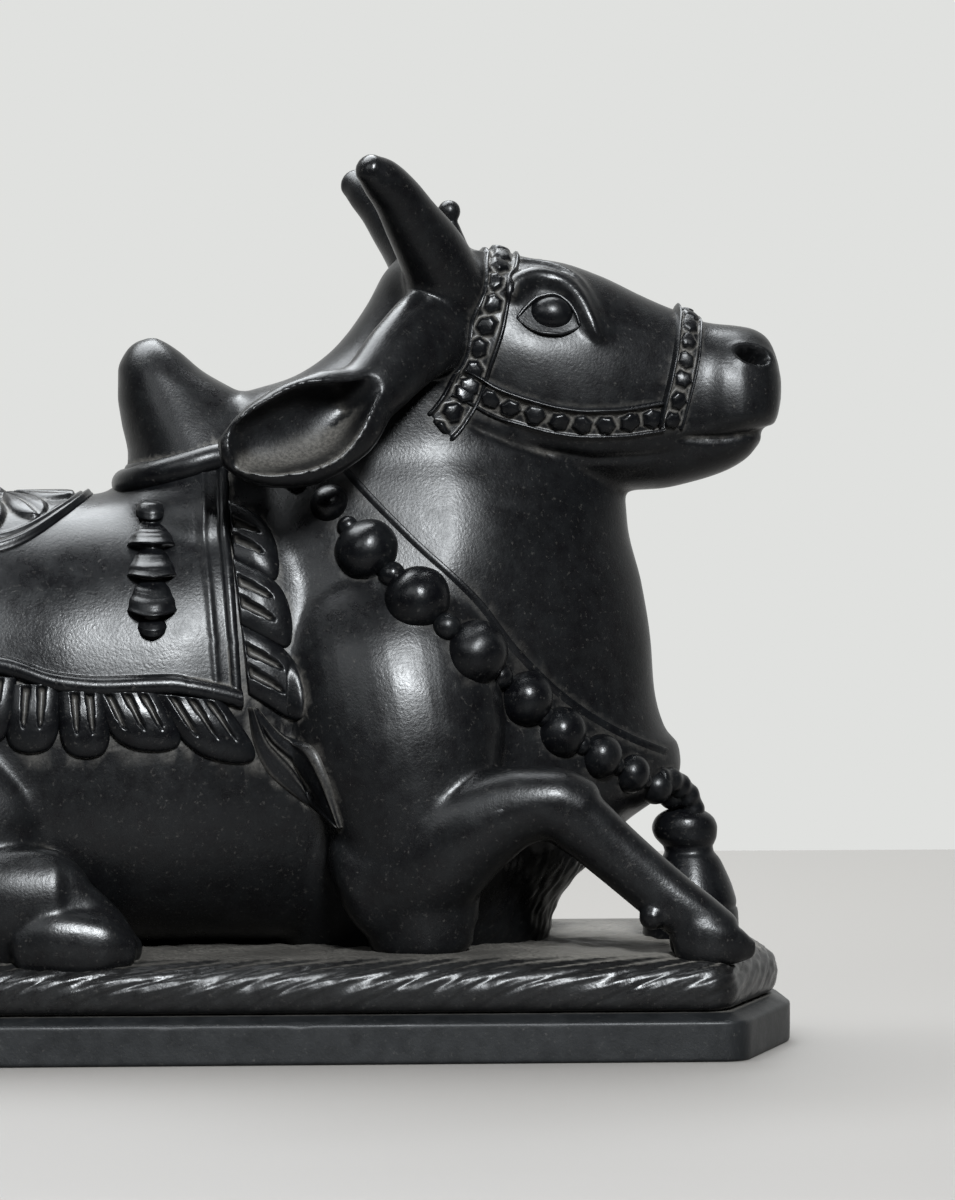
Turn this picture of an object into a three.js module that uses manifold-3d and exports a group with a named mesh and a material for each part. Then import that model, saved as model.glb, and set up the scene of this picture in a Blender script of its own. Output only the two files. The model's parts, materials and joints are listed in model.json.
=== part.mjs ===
// A reclining bull figure of polished black stone on its fluted plinth, which stands on a separate plain slab.
// Millimetres, +Z up, +X towards the bull's head. The origin is the bottom centre of the slab.

import * as THREE from 'three';
import { LoftGeometry } from 'three/addons/geometries/LoftGeometry.js';
import { mergeVertices } from 'three/addons/utils/BufferGeometryUtils.js';
import Module from 'manifold-3d';

const wasm = await Module();
wasm.setup();

// Driving dimensions of the figure.
const FIGURE_HEIGHT = 223.3; // from the plinth's top to the horn tips
const CLOTH_THICKNESS = 1.6;
const CLOTH_HEM_RADIUS = 2.1;
const STRAP_RISE = 1.1;
const GEM_RISE = 1.7;
const STRAP_ROOT = 3; // how deep a strap is rooted in the head
const FRINGE_PITCH = 15;
const COLLAR_ROLL_RADIUS = 4.3;
const COLLAR_ROLL_STAND = 0.3; // share of its radius that the roll's middle stands out of the body

// Driving dimensions of the plinth and the slab.
const PLINTH_THICKNESS = 16.9;
const PLINTH_MARGIN_LENGTH = 13.5; // from the figure's feet and rump to the plinth's ends
const PLINTH_MARGIN_SIDE = 6;
const FLUTE_PITCH = 18;
const FLUTE_DEPTH = 1.6;
const FLUTE_LEAN = 34; // how far a flute runs along the edge from its foot to its head
const SLAB_THICKNESS = 11.5;
const SLAB_LEDGE = 3.5; // how far the slab stands out past the plinth
const SLAB_BEVEL = 1;
const CORNER_LENGTH = 20; // how far a cut corner reaches along the side
const CORNER_ROUNDING = 0.35; // share of the cut that is rounded into the side and the end
const JOINT_GAP = 0.3;
const MERGE_DISTANCE = 0.02; // corners closer than this become one when solids are joined

// The carving keeps its proportions: every table below is in units of the figure's height, 223.3 units high,
// and heights are counted from the plinth's top.
const UNIT = FIGURE_HEIGHT / 223.3;
const PLINTH_FOOT = SLAB_THICKNESS + JOINT_GAP;
const PLINTH_TOP = PLINTH_FOOT + PLINTH_THICKNESS;
const FIGURE_REAR = -156; // where the tail hangs
const FIGURE_FRONT = 175; // the toe of the forward foreleg
const FIGURE_HALF_WIDTH = 66;
const FIGURE_MIDDLE = (FIGURE_FRONT + FIGURE_REAR) / 2;
const PLINTH_HALF_LENGTH = UNIT * (FIGURE_FRONT - FIGURE_MIDDLE) + PLINTH_MARGIN_LENGTH;
const PLINTH_HALF_WIDTH = UNIT * FIGURE_HALF_WIDTH + PLINTH_MARGIN_SIDE;
const SINK = 1.5; // how deep the body runs into the plinth

const NEAR = -1;
const FAR = 1;
const SIDES = [NEAR, FAR];

const STONE = { color: 0x232426, roughness: 0.32, metalness: 0 };

// The barrel of the body, as upright sections from the rump to the chest.
const TRUNK = [
  // x, top, widest, bottom, half width
  [-154, 84, 68, 50, 13],
  [-151, 98, 66, 26, 29],
  [-144, 109, 61, 6, 41],
  [-131, 118.5, 57, -SINK, 49.5],
  [-108, 124.5, 53, -SINK, 54.5],
  [-78, 126, 48, -SINK, 54],
  [-44, 126.3, 47, -SINK, 53.4],
  [-14, 126.3, 47, -SINK, 55],
  [12, 127.5, 48, -SINK, 54.2],
  [34, 131, 50, -SINK, 50.5],
  [58, 132, 52, -SINK, 43.5],
  [80, 122, 54, -SINK, 38],
  [102, 92, 52, 4, 30],
];
const TRUNK_POWER = 2.35;

// The chest, the neck with its dewlap and the nape, as level sections from the plinth to the poll.
const NECK = [
  // height, back, widest, front, half width
  [-SINK, 44, 84, 123.5, 33],
  [6, 40, 84, 125, 38],
  [20, 32, 84, 134.5, 45],
  [33, 28, 84, 146, 47],
  [44, 24, 84, 160.5, 47],
  [50, 22, 84, 162, 47],
  [60, 20, 82, 157.5, 47],
  [86, 16, 80, 153.2, 45.5],
  [118, 14, 92, 146.5, 37.8],
  [142, 22, 90, 141, 29],
  [156, 35, 89, 133, 27.6],
  [161, 50, 91, 130, 27],
  [168, 60.5, 94, 126, 25.5],
  [182, 71.5, 97, 121, 23.5],
  [197, 82, 97, 109, 17],
];
const NECK_BACK_POWER = 2.2;
const NECK_FRONT_POWER = 1.6;

// The hump over the shoulders, leaning forward.
const HUMP = [
  // height, back, widest, front, half width
  [104, -12, 24, 58, 36],
  [122, -7, 24, 58, 34],
  [130, 0.5, 24, 56, 30],
  [138, 3.2, 23, 52, 24.5],
  [148, 1.2, 19, 46, 19.5],
  [156, 0, 15, 36, 15.5],
  [163, 0, 11.5, 24, 12],
  [168.5, 2.4, 10, 17.4, 7.8],
  [171.6, 6.2, 9.7, 12.8, 3.4],
];
const HUMP_POWER = 2;

// The head, as upright sections from behind the poll to the muzzle.
const HEAD = [
  // x, top, widest, bottom, half width
  [84, 184, 172, 158, 12],
  [92, 193, 168, 148, 21],
  [100, 196.6, 164, 141, 25],
  [108, 197.2, 161, 136, 26.6],
  [118, 195.3, 160, 132, 27],
  [138, 190.3, 156, 129, 24.8],
  [150, 184.8, 154, 129.5, 22],
  [163, 179.6, 152.5, 133, 18.6],
  [177, 176, 151, 143, 19.3],
  [182, 175.2, 151.5, 144.4, 17.8],
  [186.5, 172.6, 153, 145.6, 14.8],
  [189.2, 167, 155, 148.5, 11],
  [190.4, 162, 157, 153, 6.5],
];
const HEAD_POWER = 2.25;

// The lower jaw with the lip and the chin.
const JAW = [
  [118, 152, 142, 131, 18],
  [138, 152, 142, 128.4, 17.5],
  [155, 152, 143, 129, 16.6],
  [166, 152, 144, 131.2, 16],
  [175, 152, 146, 134.2, 15],
  [181, 151, 146, 138, 12.6],
  [184.6, 149.5, 146.5, 142.4, 8.5],
];

// Limbs, horns and other round forms: a path with the half sizes across it and upright.
const NEAR_UPPER_ARM = [
  [70, 18, 112, 12, 22],
  [72, 28, 96, 16, 28],
  [75, 37, 78, 19, 31],
  [78, 41.5, 60, 19.5, 30],
  [81, 43.5, 42, 18.5, 25],
  [83, 44.6, 22, 15.5, 19],
  [84, 44, 4, 12, 15],
];
const NEAR_FOREARM = [
  [70, 44, 18, 13, 19],
  [84, 49, 25, 13.5, 17.5],
  [98, 53, 35.5, 12.5, 14.6],
  [111, 55.5, 41.2, 11, 11.4],
  [120, 56.5, 42.4, 10.4, 9.8],
  [126.5, 57, 40, 9.6, 9.4],
];
const NEAR_SHIN = [
  [115, 56.5, 41.5, 9, 8],
  [121, 56.8, 41, 10, 10],
  [128, 57, 36.2, 9.2, 9.2],
  [137, 57.2, 28.4, 8.2, 8.4],
  [147, 57.6, 19.8, 7.8, 8],
  [157, 58, 11.6, 8.4, 8],
  [166, 58, 5.4, 8.6, 7],
];
const FAR_FOREARM = [
  [66, 42, 26, 14, 18],
  [84, 47, 22, 14, 15],
  [104, 47, 17, 13, 12.5],
  [113, 45, 15, 12, 11.5],
  [120, 43, 13.5, 10, 10.5],
  [123.5, 42, 12.5, 6, 7],
];
const FAR_SHIN = [
  [115, 43, 9, 9, 9],
  [104, 49, 6.5, 8, 8],
  [88, 56, 5.5, 7.6, 7],
  [72, 59, 5.5, 8, 7],
];
const UPPER_THIGH = [
  [-136, 24, 70, 10, 18],
  [-126, 33, 58, 17, 30],
  [-104, 41, 50, 19.5, 35],
  [-78, 45, 44, 18, 33],
  [-50, 48, 37, 14.5, 28],
  [-32, 48.5, 34, 11, 19],
  [-22, 48, 33, 6, 11],
];
const SHANK = [
  [-48, 52, 26, 10, 16],
  [-74, 55, 17, 10, 13],
  [-96, 57, 12.5, 10, 13],
  [-112, 57, 13, 9.5, 14],
  [-119, 56.5, 13.5, 6, 9],
];
const CANNON = [
  [-108, 57, 13, 9, 14],
  [-90, 58, 12, 8.6, 12.4],
  [-66, 58, 12, 8.4, 12.4],
  [-46, 58, 13.6, 9.2, 14.2],
  [-28, 58, 14.8, 10, 15.4],
  [-19, 58, 14.6, 10, 15.4],
];
const HORN = [
  [95, 15, 182, 12.2, 12.2],
  [91.5, 20, 190, 10.9, 10.9],
  [87.5, 25.5, 197.6, 9.6, 9.6],
  [82.8, 31, 204.4, 8.2, 8.2],
  [78.4, 36, 210.8, 7, 7],
  [74, 40.6, 215.8, 6, 6],
  [69.4, 44.8, 219.2, 4.6, 4.6],
];
const EAR_OUTER = [
  [97, 9, 180, 7, 12],
  [89, 24, 174.5, 8, 12.5],
  [80, 35.5, 167.3, 7.4, 11],
  [70, 45, 157, 7.5, 9.5],
  [60, 51, 149.5, 8.5, 13.6],
  [50, 55, 144.6, 8.5, 14.6],
  [40, 57.5, 141.6, 7.5, 12.4],
  [32, 58.5, 140, 5.5, 8],
  [27.5, 59, 139.4, 3, 3.6],
];
const EAR_HOLLOW = [
  [70, 57, 156.5, 3, 4],
  [62, 62, 150.6, 8.4, 8.6],
  [52, 65.5, 145.4, 8.8, 10.8],
  [42, 67.5, 142, 8, 9.4],
  [35, 68, 140.6, 6.6, 5.8],
  [31, 68, 140.2, 4.4, 2.2],
];
const TAIL = [
  [-128, 0, 115, 8, 8],
  [-143, -1, 108, 6.8, 7],
  [-151.5, -3, 92, 5.6, 5.6],
  [-153.5, -6, 66, 4.8, 4.8],
  [-151.5, -10, 40, 4.6, 4.6],
  [-149.5, -15, 22, 6.6, 6],
  [-149, -20, 9, 7.6, 6.4],
  [-149, -24, -2, 5, 4],
];
const COLLAR = [
  // x, height
  [8, 132.4],
  [14, 134],
  [21, 136],
  [28, 138.4],
  [36, 139],
  [44, 136],
  [51, 130],
];

// The garland: where each bead sits on the side of the neck, with its radius.
const BEADS = [
  // x, height, radius
  [59, 125.2, 5.6],
  [69.2, 112, 9.3],
  [82.9, 98.3, 9.8],
  [98.9, 83.3, 9.8],
  [114, 70, 8.3],
  [124.3, 60.4, 7.6],
  [136, 53.4, 6.6],
  [145.4, 48, 5.8],
  [153.6, 43.6, 5.2],
  [159.3, 41, 4.4],
];
const BEAD_SUNK = 0.15; // share of a bead's radius that its middle lies inside the body
const BELL_X = 165;
const BELL_PROFILE = [
  // height, radius
  [47, 0.01],
  [45, 4.2],
  [36, 5.6],
  [34.5, 9.6],
  [31, 10.6],
  [27.5, 9.4],
  [25.8, 7.6],
  [23, 8.4],
  [17, 11.4],
  [8, 13.4],
  [-SINK, 13.8],
  [-SINK, 0.01],
];

// The saddle cloth, from the rump side to its front border.
const CLOTH_REAR = -100;
const CLOTH_FRONT_TOP = 28;
const CLOTH_FRONT_CORNER = 34.6;
const CLOTH_HEM = [
  // x, height
  [CLOTH_REAR, 76],
  [-66, 79.5],
  [-33, 77.2],
  [-5.5, 71.3],
  [14, 71.8],
  [CLOTH_FRONT_CORNER, 67.6],
];
// How the cloth's lift grows towards its hem, and from its rear edge to its front border: share of the way, raise.
const HEM_PROFILE = [[0, 0], [0.3, 0], [0.65, 0], [0.93, 0], [0.97, 1], [1, 0.9]];
const BORDER_PROFILE = [[0, 0.8], [0.04, 0], [0.33, 0], [0.65, 0], [0.95, 0], [0.985, 1], [1, 0.9]];
const UNDERSIDE_SHARES = [0.97, 0.55, 0, -0.55, -0.97];
const UNDERSIDE_DEPTH = 2.4; // how deep the cloth's underside lies in the back
const MEDALLION = { x: -37, radius: 30, spread: 1.2, petals: 7 };
const MEDALLION_RINGS = [
  // share of the radius, lift between petals, lift on them
  [0.17, 3.6, 3.6],
  [0.24, 0.3, 0.3],
  [0.62, 0.3, 2.2],
  [0.9, 0.2, 0.2],
  [0.95, 1.8, 1.8],
  [1, -3, -3],
];
// One leaf of the fringe, from its root round its tip to its underside: share of its length, what a leaf's middle
// adds to that, lift over the body, and what its middle adds to the lift.
const LEAF_PROFILE = [[-0.15, 0, -3.5, 0], [0.5, 0, 0.4, 2.4], [0.6, 0.45, -1.2, 0], [0.3, 0, -5, 0]];
// The rows of leaves: how far each reaches, which way it turns, and its number of leaves.
const HEM_LEAVES = { length: 18, turn: -1.75 };
const FRONT_LEAVES = { length: 15, turn: -0.6, count: 4, stand: 3, top: 126, bottom: 71 };
const CORNER_LEAF = { length: 42, turn: -0.92, width: 7, rise: 3 };
const TASSEL = [
  // way down the cloth, radius
  [0, 3.4],
  [4, 5.2],
  [6, 2.6],
  [14, 6.2],
  [15, 3],
  [23, 6.4],
  [24, 3],
  [32, 6.4],
  [33, 2.4],
  [36.4, 4],
  [40, 0.8],
];
const TASSEL_X = 9;
const TASSEL_TOP = 125;
const TASSEL_DROP = 0.94; // height lost for each unit of way down the cloth
const TASSEL_FLATNESS = 0.8;

// Halter straps on the near cheek, as points with x and height, with the strap's width and gem count.
const STRAPS = [
  { line: [[105.5, 196], [105.2, 184], [101.5, 172], [96.5, 160], [91.5, 150]], width: 8.2, gems: 6 },
  { line: [[97, 149], [108, 144.6], [121, 142.6], [135, 141.8], [149, 142.6]], width: 6.6, gems: 7 },
  { line: [[163.5, 178.6], [161.6, 166], [158.4, 154], [154.6, 141.5]], width: 6.2, gems: 6 },
];
// The eye stands at a share of the way from the head's widest place to its top, and lids and brow follow it.
const EYE = { x: 122.5, share: 0.6, radius: 6.6, sunk: 3.9 };
const EYELID = { back: 9.1, front: 7.1, rise: 5.6, drop: 4.4, lift: 1, root: 3 };
const BROW = [[-11.9, 0], [-9.5, 6], [-3.5, 8.6], [2.5, 7.8], [7.9, 2.4], [11.1, -7]];
const BROW_RADIUS = 2.6;
const NOSTRIL = { x: 181.4, height: 167.6, length: 5, rise: 2.6, depth: 9, tilt: 0.24 };
// The knob on the poll, on a stem whose radii are shares of the knob's.
const POLL_KNOB = { x: 95, height: 208.6, radius: 3.3 };
const POLL_STEM = [[0, 2.7], [0.4, 1.6], [1, 0.9]];
const POLL_STEM_ROOT = 7; // how deep the stem is rooted in the head
// The knuckle behind the forward foot lies on the shin's skin, at shares of the shin's half sizes.
const DEWCLAW = { x: 147.5, side: 0.68, height: -1.08, radius: 3.2 };
// The forward foot: its middle lies this far behind the shin's last station.
const HOOF = { back: 1.5, halfLength: 11, halfWidth: 8.6, height: 11.6 };
const TOE_SPREAD = 0.52; // share of the foot's half width from its middle to a toe's
const TOE_WIDTH = 0.56;
// The hind foot that lies forward: its profile from the pastern to the toe, and the toe on its outer side.
const HIND_FOOT_WIDTH = 15;
const HIND_FOOT = [[-34, -SINK], [-34, 29], [-20, 30.4], [4.5, 3], [4.5, -SINK]];
const HIND_TOE = [
  // x, way out from the cannon, height, half across, half upright
  [-26, 6, 3, 5, 8],
  [-18, 7.5, 5, 6, 9],
  [-6, 7.5, 4, 6, 8.5],
  [2, 6, 2, 4.5, 5.5],
];

// The rims of the plinth and the cuts at its corners.
const PLINTH_RIM = [
  // share of the way up, inset, share of the flutes' depth
  [0, 2.2, 0],
  [0.2, 0.2, 1],
  [0.76, 0.8, 1],
  [1, 5, 0],
];
const CORNER_CUT = 0.74; // share of the half width that a cut corner takes from the end
const SLAB_SIDE_LEDGE = 2;

const lerp = THREE.MathUtils.lerp;

// A point of the figure, from units to millimetres.
function place(x, side, height) {
  return new THREE.Vector3(UNIT * (x - FIGURE_MIDDLE), UNIT * side, PLINTH_TOP + UNIT * height);
}

// The row of a table at one value of its first column, on straight lines between its rows.
function rowAt(rows, value) {
  let upper = rows.findIndex((row) => row[0] >= value);
  upper = upper < 0 ? rows.length - 1 : Math.max(upper, 1);
  const [from, to] = [rows[upper - 1], rows[upper]];
  const share = THREE.MathUtils.clamp((value - from[0]) / (to[0] - from[0]), 0, 1);
  return from.map((number, column) => lerp(number, to[column], share));
}

// A closed geometry as a solid: its shared corners are merged and its faces turned outwards.
function solid(geometry) {
  const plain = new THREE.BufferGeometry();
  plain.setAttribute('position', geometry.attributes.position);
  plain.setIndex(geometry.index);
  const merged = mergeVertices(plain, 1e-4);
  const points = merged.attributes.position.array;
  const corners = [...merged.index.array];
  const faces = [];
  for (let i = 0; i < corners.length; i += 3) {
    const [a, b, c] = corners.slice(i, i + 3);
    if (a !== b && b !== c && a !== c) faces.push([a, b, c]);
  }
  const corner = (index) => new THREE.Vector3(...points.slice(3 * index, 3 * index + 3));
  const volume = faces.reduce(
    (sum, [a, b, c]) => sum + corner(a).dot(corner(b).cross(corner(c))), 0);
  const outward = volume < 0 ? faces.map(([a, b, c]) => [a, c, b]) : faces;
  return new wasm.Manifold(new wasm.Mesh({
    numProp: 3,
    tolerance: MERGE_DISTANCE,
    vertProperties: new Float32Array(points),
    triVerts: new Uint32Array(outward.flat()),
  }));
}

// A body through closed sections: each end is drawn together to the middle of its section.
function loft(sections) {
  const drawn = (section) => {
    const middle = section.reduce((sum, point) => sum.add(point), new THREE.Vector3());
    middle.divideScalar(section.length);
    return section.map(() => middle);
  };
  return solid(new LoftGeometry([drawn(sections[0]), ...sections, drawn(sections[sections.length - 1])]));
}

// A closed ring of stone through sections that run round it, the last one meeting the first.
function ringed(sections) {
  return solid(new LoftGeometry([...sections, sections[0]]));
}

// The way round one section, in equal steps of angle.
function round(count, point) {
  return Array.from({ length: count }, (_, i) => point((i / count) * 2 * Math.PI));
}

// One point of a rounded section: power 2 gives an ellipse, more gives fuller shoulders.
function rounded(angle, power) {
  const bend = (value) => Math.sign(value) * Math.abs(value) ** (2 / power);
  return [bend(Math.sin(angle)), bend(Math.cos(angle))];
}

// A point of an upright section: angle 0 is the top, a quarter turn is the far side.
function uprightPoint(row, angle, power) {
  const [x, top, widest, bottom, halfWidth] = row;
  const [side, rise] = rounded(angle, power);
  return [x, side * halfWidth, widest + rise * (rise > 0 ? top - widest : widest - bottom)];
}

function uprightLoft(rows, power, count) {
  return loft(rows.map((row) => round(count, (angle) => place(...uprightPoint(row, angle, power)))));
}

// A body in level sections, each with its own curve in front of and behind its widest place.
function levelLoft(rows, backPower, frontPower, count) {
  return loft(rows.map(([height, back, widest, front, halfWidth]) => round(count, (angle) => {
    const [side, ahead] = rounded(angle, Math.cos(angle) > 0 ? frontPower : backPower);
    const x = widest + ahead * (ahead > 0 ? front - widest : widest - back);
    return place(x, side * halfWidth, height);
  })));
}

// How far a table's upright sections reach to the side at a place, or 0 outside them.
function uprightSide(rows, power, x, height) {
  const [, top, widest, bottom, halfWidth] = rowAt(rows, x);
  const share = Math.abs(height - widest) / (height > widest ? top - widest : widest - bottom);
  return share < 1 ? halfWidth * (1 - share ** power) ** (1 / power) : 0;
}

// The same for a table of level sections.
function levelSide(rows, backPower, frontPower, x, height) {
  const [, back, widest, front, halfWidth] = rowAt(rows, height);
  const ahead = x > widest;
  const power = ahead ? frontPower : backPower;
  const share = Math.abs(x - widest) / (ahead ? front - widest : widest - back);
  return share < 1 ? halfWidth * (1 - share ** power) ** (1 / power) : 0;
}

function neckSide(x, height) {
  return levelSide(NECK, NECK_BACK_POWER, NECK_FRONT_POWER, x, height);
}

function humpSide(x, height) {
  return levelSide(HUMP, HUMP_POWER, HUMP_POWER, x, height);
}

function bodySide(x, height) {
  return Math.max(uprightSide(TRUNK, TRUNK_POWER, x, height), neckSide(x, height));
}

function headSide(x, height) {
  return Math.max(
    uprightSide(HEAD, HEAD_POWER, x, height), uprightSide(JAW, HEAD_POWER, x, height), 0.6 * neckSide(x, height));
}

// A smooth path through points, as that many points on it.
function smooth(points, count) {
  return new THREE.CatmullRomCurve3(points, false, 'centripetal').getPoints(count);
}

// A round form along a path: rows hold x, side, height and the half sizes level and upright.
function limb(rows, side, count) {
  const axis = rows.map(([x, out, height]) => place(x, side * out, height));
  const curve = new THREE.CatmullRomCurve3(axis, false, 'centripetal');
  return loft(rows.map(([, , , across, upright], i) => {
    const ahead = curve.getTangent(i / (rows.length - 1));
    const level = new THREE.Vector3(0, 1, 0);
    level.addScaledVector(ahead, -level.dot(ahead)).normalize();
    const up = new THREE.Vector3().crossVectors(ahead, level);
    return round(count, (angle) => axis[i].clone()
      .addScaledVector(level, UNIT * across * Math.sin(angle))
      .addScaledVector(up, UNIT * upright * Math.cos(angle)));
  }));
}

// A round rod through points that are already in millimetres.
function rod(points, radius, count = 5) {
  const curve = new THREE.CatmullRomCurve3(points, false, 'centripetal');
  const shape = new THREE.Shape(round(count, (angle) => new THREE.Vector2(
    radius * Math.cos(angle), radius * Math.sin(angle))));
  return solid(new THREE.ExtrudeGeometry(shape, {
    extrudePath: curve,
    steps: points.length - 1,
    bevelEnabled: false,
  }));
}

function ball(centre, radius, across = 7, high = 4) {
  const geometry = new THREE.SphereGeometry(radius, across, high);
  geometry.translate(centre.x, centre.y, centre.z);
  return solid(geometry);
}

function joined(solids) {
  return solids.reduce((whole, next) => whole.add(next));
}

// A strap along a line on the side of the head, rooted in it, whose middle rises to a point at every gem.
function strap({ line, width, gems }, side) {
  const path = new THREE.CatmullRomCurve3(line.map(([x, height]) => new THREE.Vector3(x, 0, height)));
  const steps = 2 * gems;
  const sections = Array.from({ length: steps + 1 }, (_, i) => {
    const centre = path.getPointAt(i / steps);
    const ahead = path.getTangentAt(i / steps);
    const corner = (share, lift) => {
      const x = centre.x - ahead.z * share * width;
      const height = centre.z + ahead.x * share * width;
      return place(x, side * Math.max(headSide(x, height) + lift, 0.4), height);
    };
    const peak = STRAP_RISE + (i % 2) * GEM_RISE;
    return [corner(-0.5, STRAP_RISE), corner(0, peak), corner(0.5, STRAP_RISE), corner(0, -STRAP_ROOT)];
  });
  return loft(sections);
}

// A row of fringe leaves down from an edge: each leaf has a raised middle, and a notch parts it from the next.
function leaves(edge, turn, length, count, side) {
  const down = [Math.cos(turn), Math.sin(turn)];
  const steps = 2 * count;
  const sections = Array.from({ length: steps + 1 }, (_, i) => {
    const [rootX, rootHeight] = edge(i / steps);
    const full = i % 2;
    return LEAF_PROFILE.map(([reach, fullReach, lift, fullLift]) => {
      const along = (reach + full * fullReach) * length;
      const [x, height] = [rootX + down[0] * along, rootHeight + down[1] * along];
      return place(x, side * (bodySide(x, height) + lift + full * fullLift), height);
    });
  });
  return loft(sections);
}

// The cloth hangs over the back: share across runs from -1 at the near hem to 1 at the far hem.
function clothPoint(share, across, lift) {
  const front = lerp(CLOTH_FRONT_TOP, CLOTH_FRONT_CORNER, Math.abs(across));
  const x = lerp(CLOTH_REAR, front, share);
  const [, hem] = rowAt(CLOTH_HEM, x);
  return backPoint(x, hem, across, lift);
}

// A point over the back at a share of the way down to a height on either side.
function backPoint(x, lowest, across, lift) {
  const [, top, widest, bottom, halfWidth] = rowAt(TRUNK, x);
  const hemAngle = Math.acos(((lowest - widest) / (top - widest)) ** (TRUNK_POWER / 2));
  const lifted = [x, top + lift, widest, bottom, halfWidth + lift];
  return place(...uprightPoint(lifted, across * hemAngle, TRUNK_POWER));
}

// The cloth with its rolled hem: the lift is high on the hem, the front border and the ridge behind it.
function cloth() {
  const hem = CLOTH_THICKNESS + CLOTH_HEM_RADIUS;
  const across = [...HEM_PROFILE.slice(1).reverse().map(([share, raise]) => [-share, raise]), ...HEM_PROFILE];
  const sections = BORDER_PROFILE.map(([share, raise]) => [
    ...across.map(([out, rim]) => clothPoint(
      share, out, lerp(CLOTH_THICKNESS, hem, Math.max(raise, rim)))),
    ...UNDERSIDE_SHARES.map((out) => clothPoint(share, out, -UNDERSIDE_DEPTH)),
  ]);
  return loft(sections);
}

// The fringe hangs from the hem, and a shorter one stands along the front border, with a long corner leaf.
function fringe(side) {
  const count = Math.round((CLOTH_FRONT_CORNER - CLOTH_REAR) / FRINGE_PITCH);
  const hem = (share) => {
    const x = lerp(CLOTH_REAR, CLOTH_FRONT_CORNER, share);
    return [x, rowAt(CLOTH_HEM, x)[1] - CLOTH_THICKNESS];
  };
  const { stand, top, bottom } = FRONT_LEAVES;
  const front = (share) => [
    lerp(CLOTH_FRONT_TOP + stand, CLOTH_FRONT_CORNER + stand, share), lerp(top, bottom, share)];
  const [, cornerHeight] = CLOTH_HEM[CLOTH_HEM.length - 1];
  const corner = (share) => [
    CLOTH_FRONT_CORNER + lerp(0, CORNER_LEAF.width, share), cornerHeight + lerp(0, CORNER_LEAF.rise, share)];
  return [
    leaves(hem, HEM_LEAVES.turn, HEM_LEAVES.length, count, side),
    leaves(front, FRONT_LEAVES.turn, FRONT_LEAVES.length, FRONT_LEAVES.count, side),
    leaves(corner, CORNER_LEAF.turn, CORNER_LEAF.length, 1, side),
  ];
}

// Bell-shaped tufts and a ball, strung one under another down the cloth.
function tassel(side) {
  const [, top, widest] = rowAt(TRUNK, TASSEL_X);
  const sections = TASSEL.map(([down, radius]) => {
    const height = TASSEL_TOP - TASSEL_DROP * down;
    const out = uprightSide(TRUNK, TRUNK_POWER, TASSEL_X, height) + CLOTH_THICKNESS;
    const lean = Math.min(((height - widest) / (top - widest)) ** 3, TASSEL_FLATNESS);
    return round(5, (angle) => place(
      TASSEL_X + radius * Math.sin(angle),
      side * (out + radius * Math.cos(angle) * TASSEL_FLATNESS),
      height + lean * radius * Math.cos(angle)));
  });
  return loft(sections);
}

// An open lotus on the middle of the back, wider across than along: a ring, petals and a boss.
function medallion() {
  const { x, radius, spread, petals } = MEDALLION;
  const onBack = (px, side, lift) => {
    const [, top, widest, , halfWidth] = rowAt(TRUNK, px);
    const share = Math.min(Math.abs(side) / halfWidth, 1) ** TRUNK_POWER;
    return place(px, side, widest + (top - widest) * (1 - share) ** (1 / TRUNK_POWER) + CLOTH_THICKNESS + lift);
  };
  const columns = 2 * petals;
  return loft(MEDALLION_RINGS.map(([share, low, high]) => round(columns, (angle) => {
    const full = Math.round((angle / (2 * Math.PI)) * columns) % 2;
    return onBack(
      x + radius * share * Math.cos(angle), spread * radius * share * Math.sin(angle), full ? high : low);
  })));
}

// A padded roll from one side's first bead behind the hump to the other's, standing out by part of its radius.
function collarRoll() {
  const stand = COLLAR_ROLL_STAND * COLLAR_ROLL_RADIUS;
  const behind = COLLAR[0][1] - stand;
  const back = rowAt(HUMP, behind)[1] + stand;
  const half = (side) => [
    place(back, 2 * side * COLLAR_ROLL_RADIUS, behind),
    ...COLLAR.map(([x, height]) => place(
      x, side * (Math.max(bodySide(x, height), humpSide(x, height)) + stand), height)),
  ];
  return rod([...half(NEAR).reverse(), place(back, 0, behind), ...half(FAR)], UNIT * COLLAR_ROLL_RADIUS, 6);
}

function garland(side) {
  return BEADS.map(([x, height, radius]) => {
    const out = bodySide(x, height) - BEAD_SUNK * radius;
    return ball(place(x, side * out, height), UNIT * radius);
  });
}

function bell() {
  const foot = place(BELL_X, 0, 0);
  const profile = BELL_PROFILE.map(([height, radius]) => new THREE.Vector2(UNIT * radius, UNIT * height));
  profile[0].x = 0;
  profile[profile.length - 1].x = 0;
  const geometry = new THREE.LatheGeometry(profile, 12);
  geometry.rotateX(Math.PI / 2);
  geometry.translate(foot.x, foot.y, foot.z);
  return solid(geometry);
}

function ear(side) {
  return limb(EAR_OUTER, side, 8).subtract(limb(EAR_HOLLOW, side, 6));
}

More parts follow.
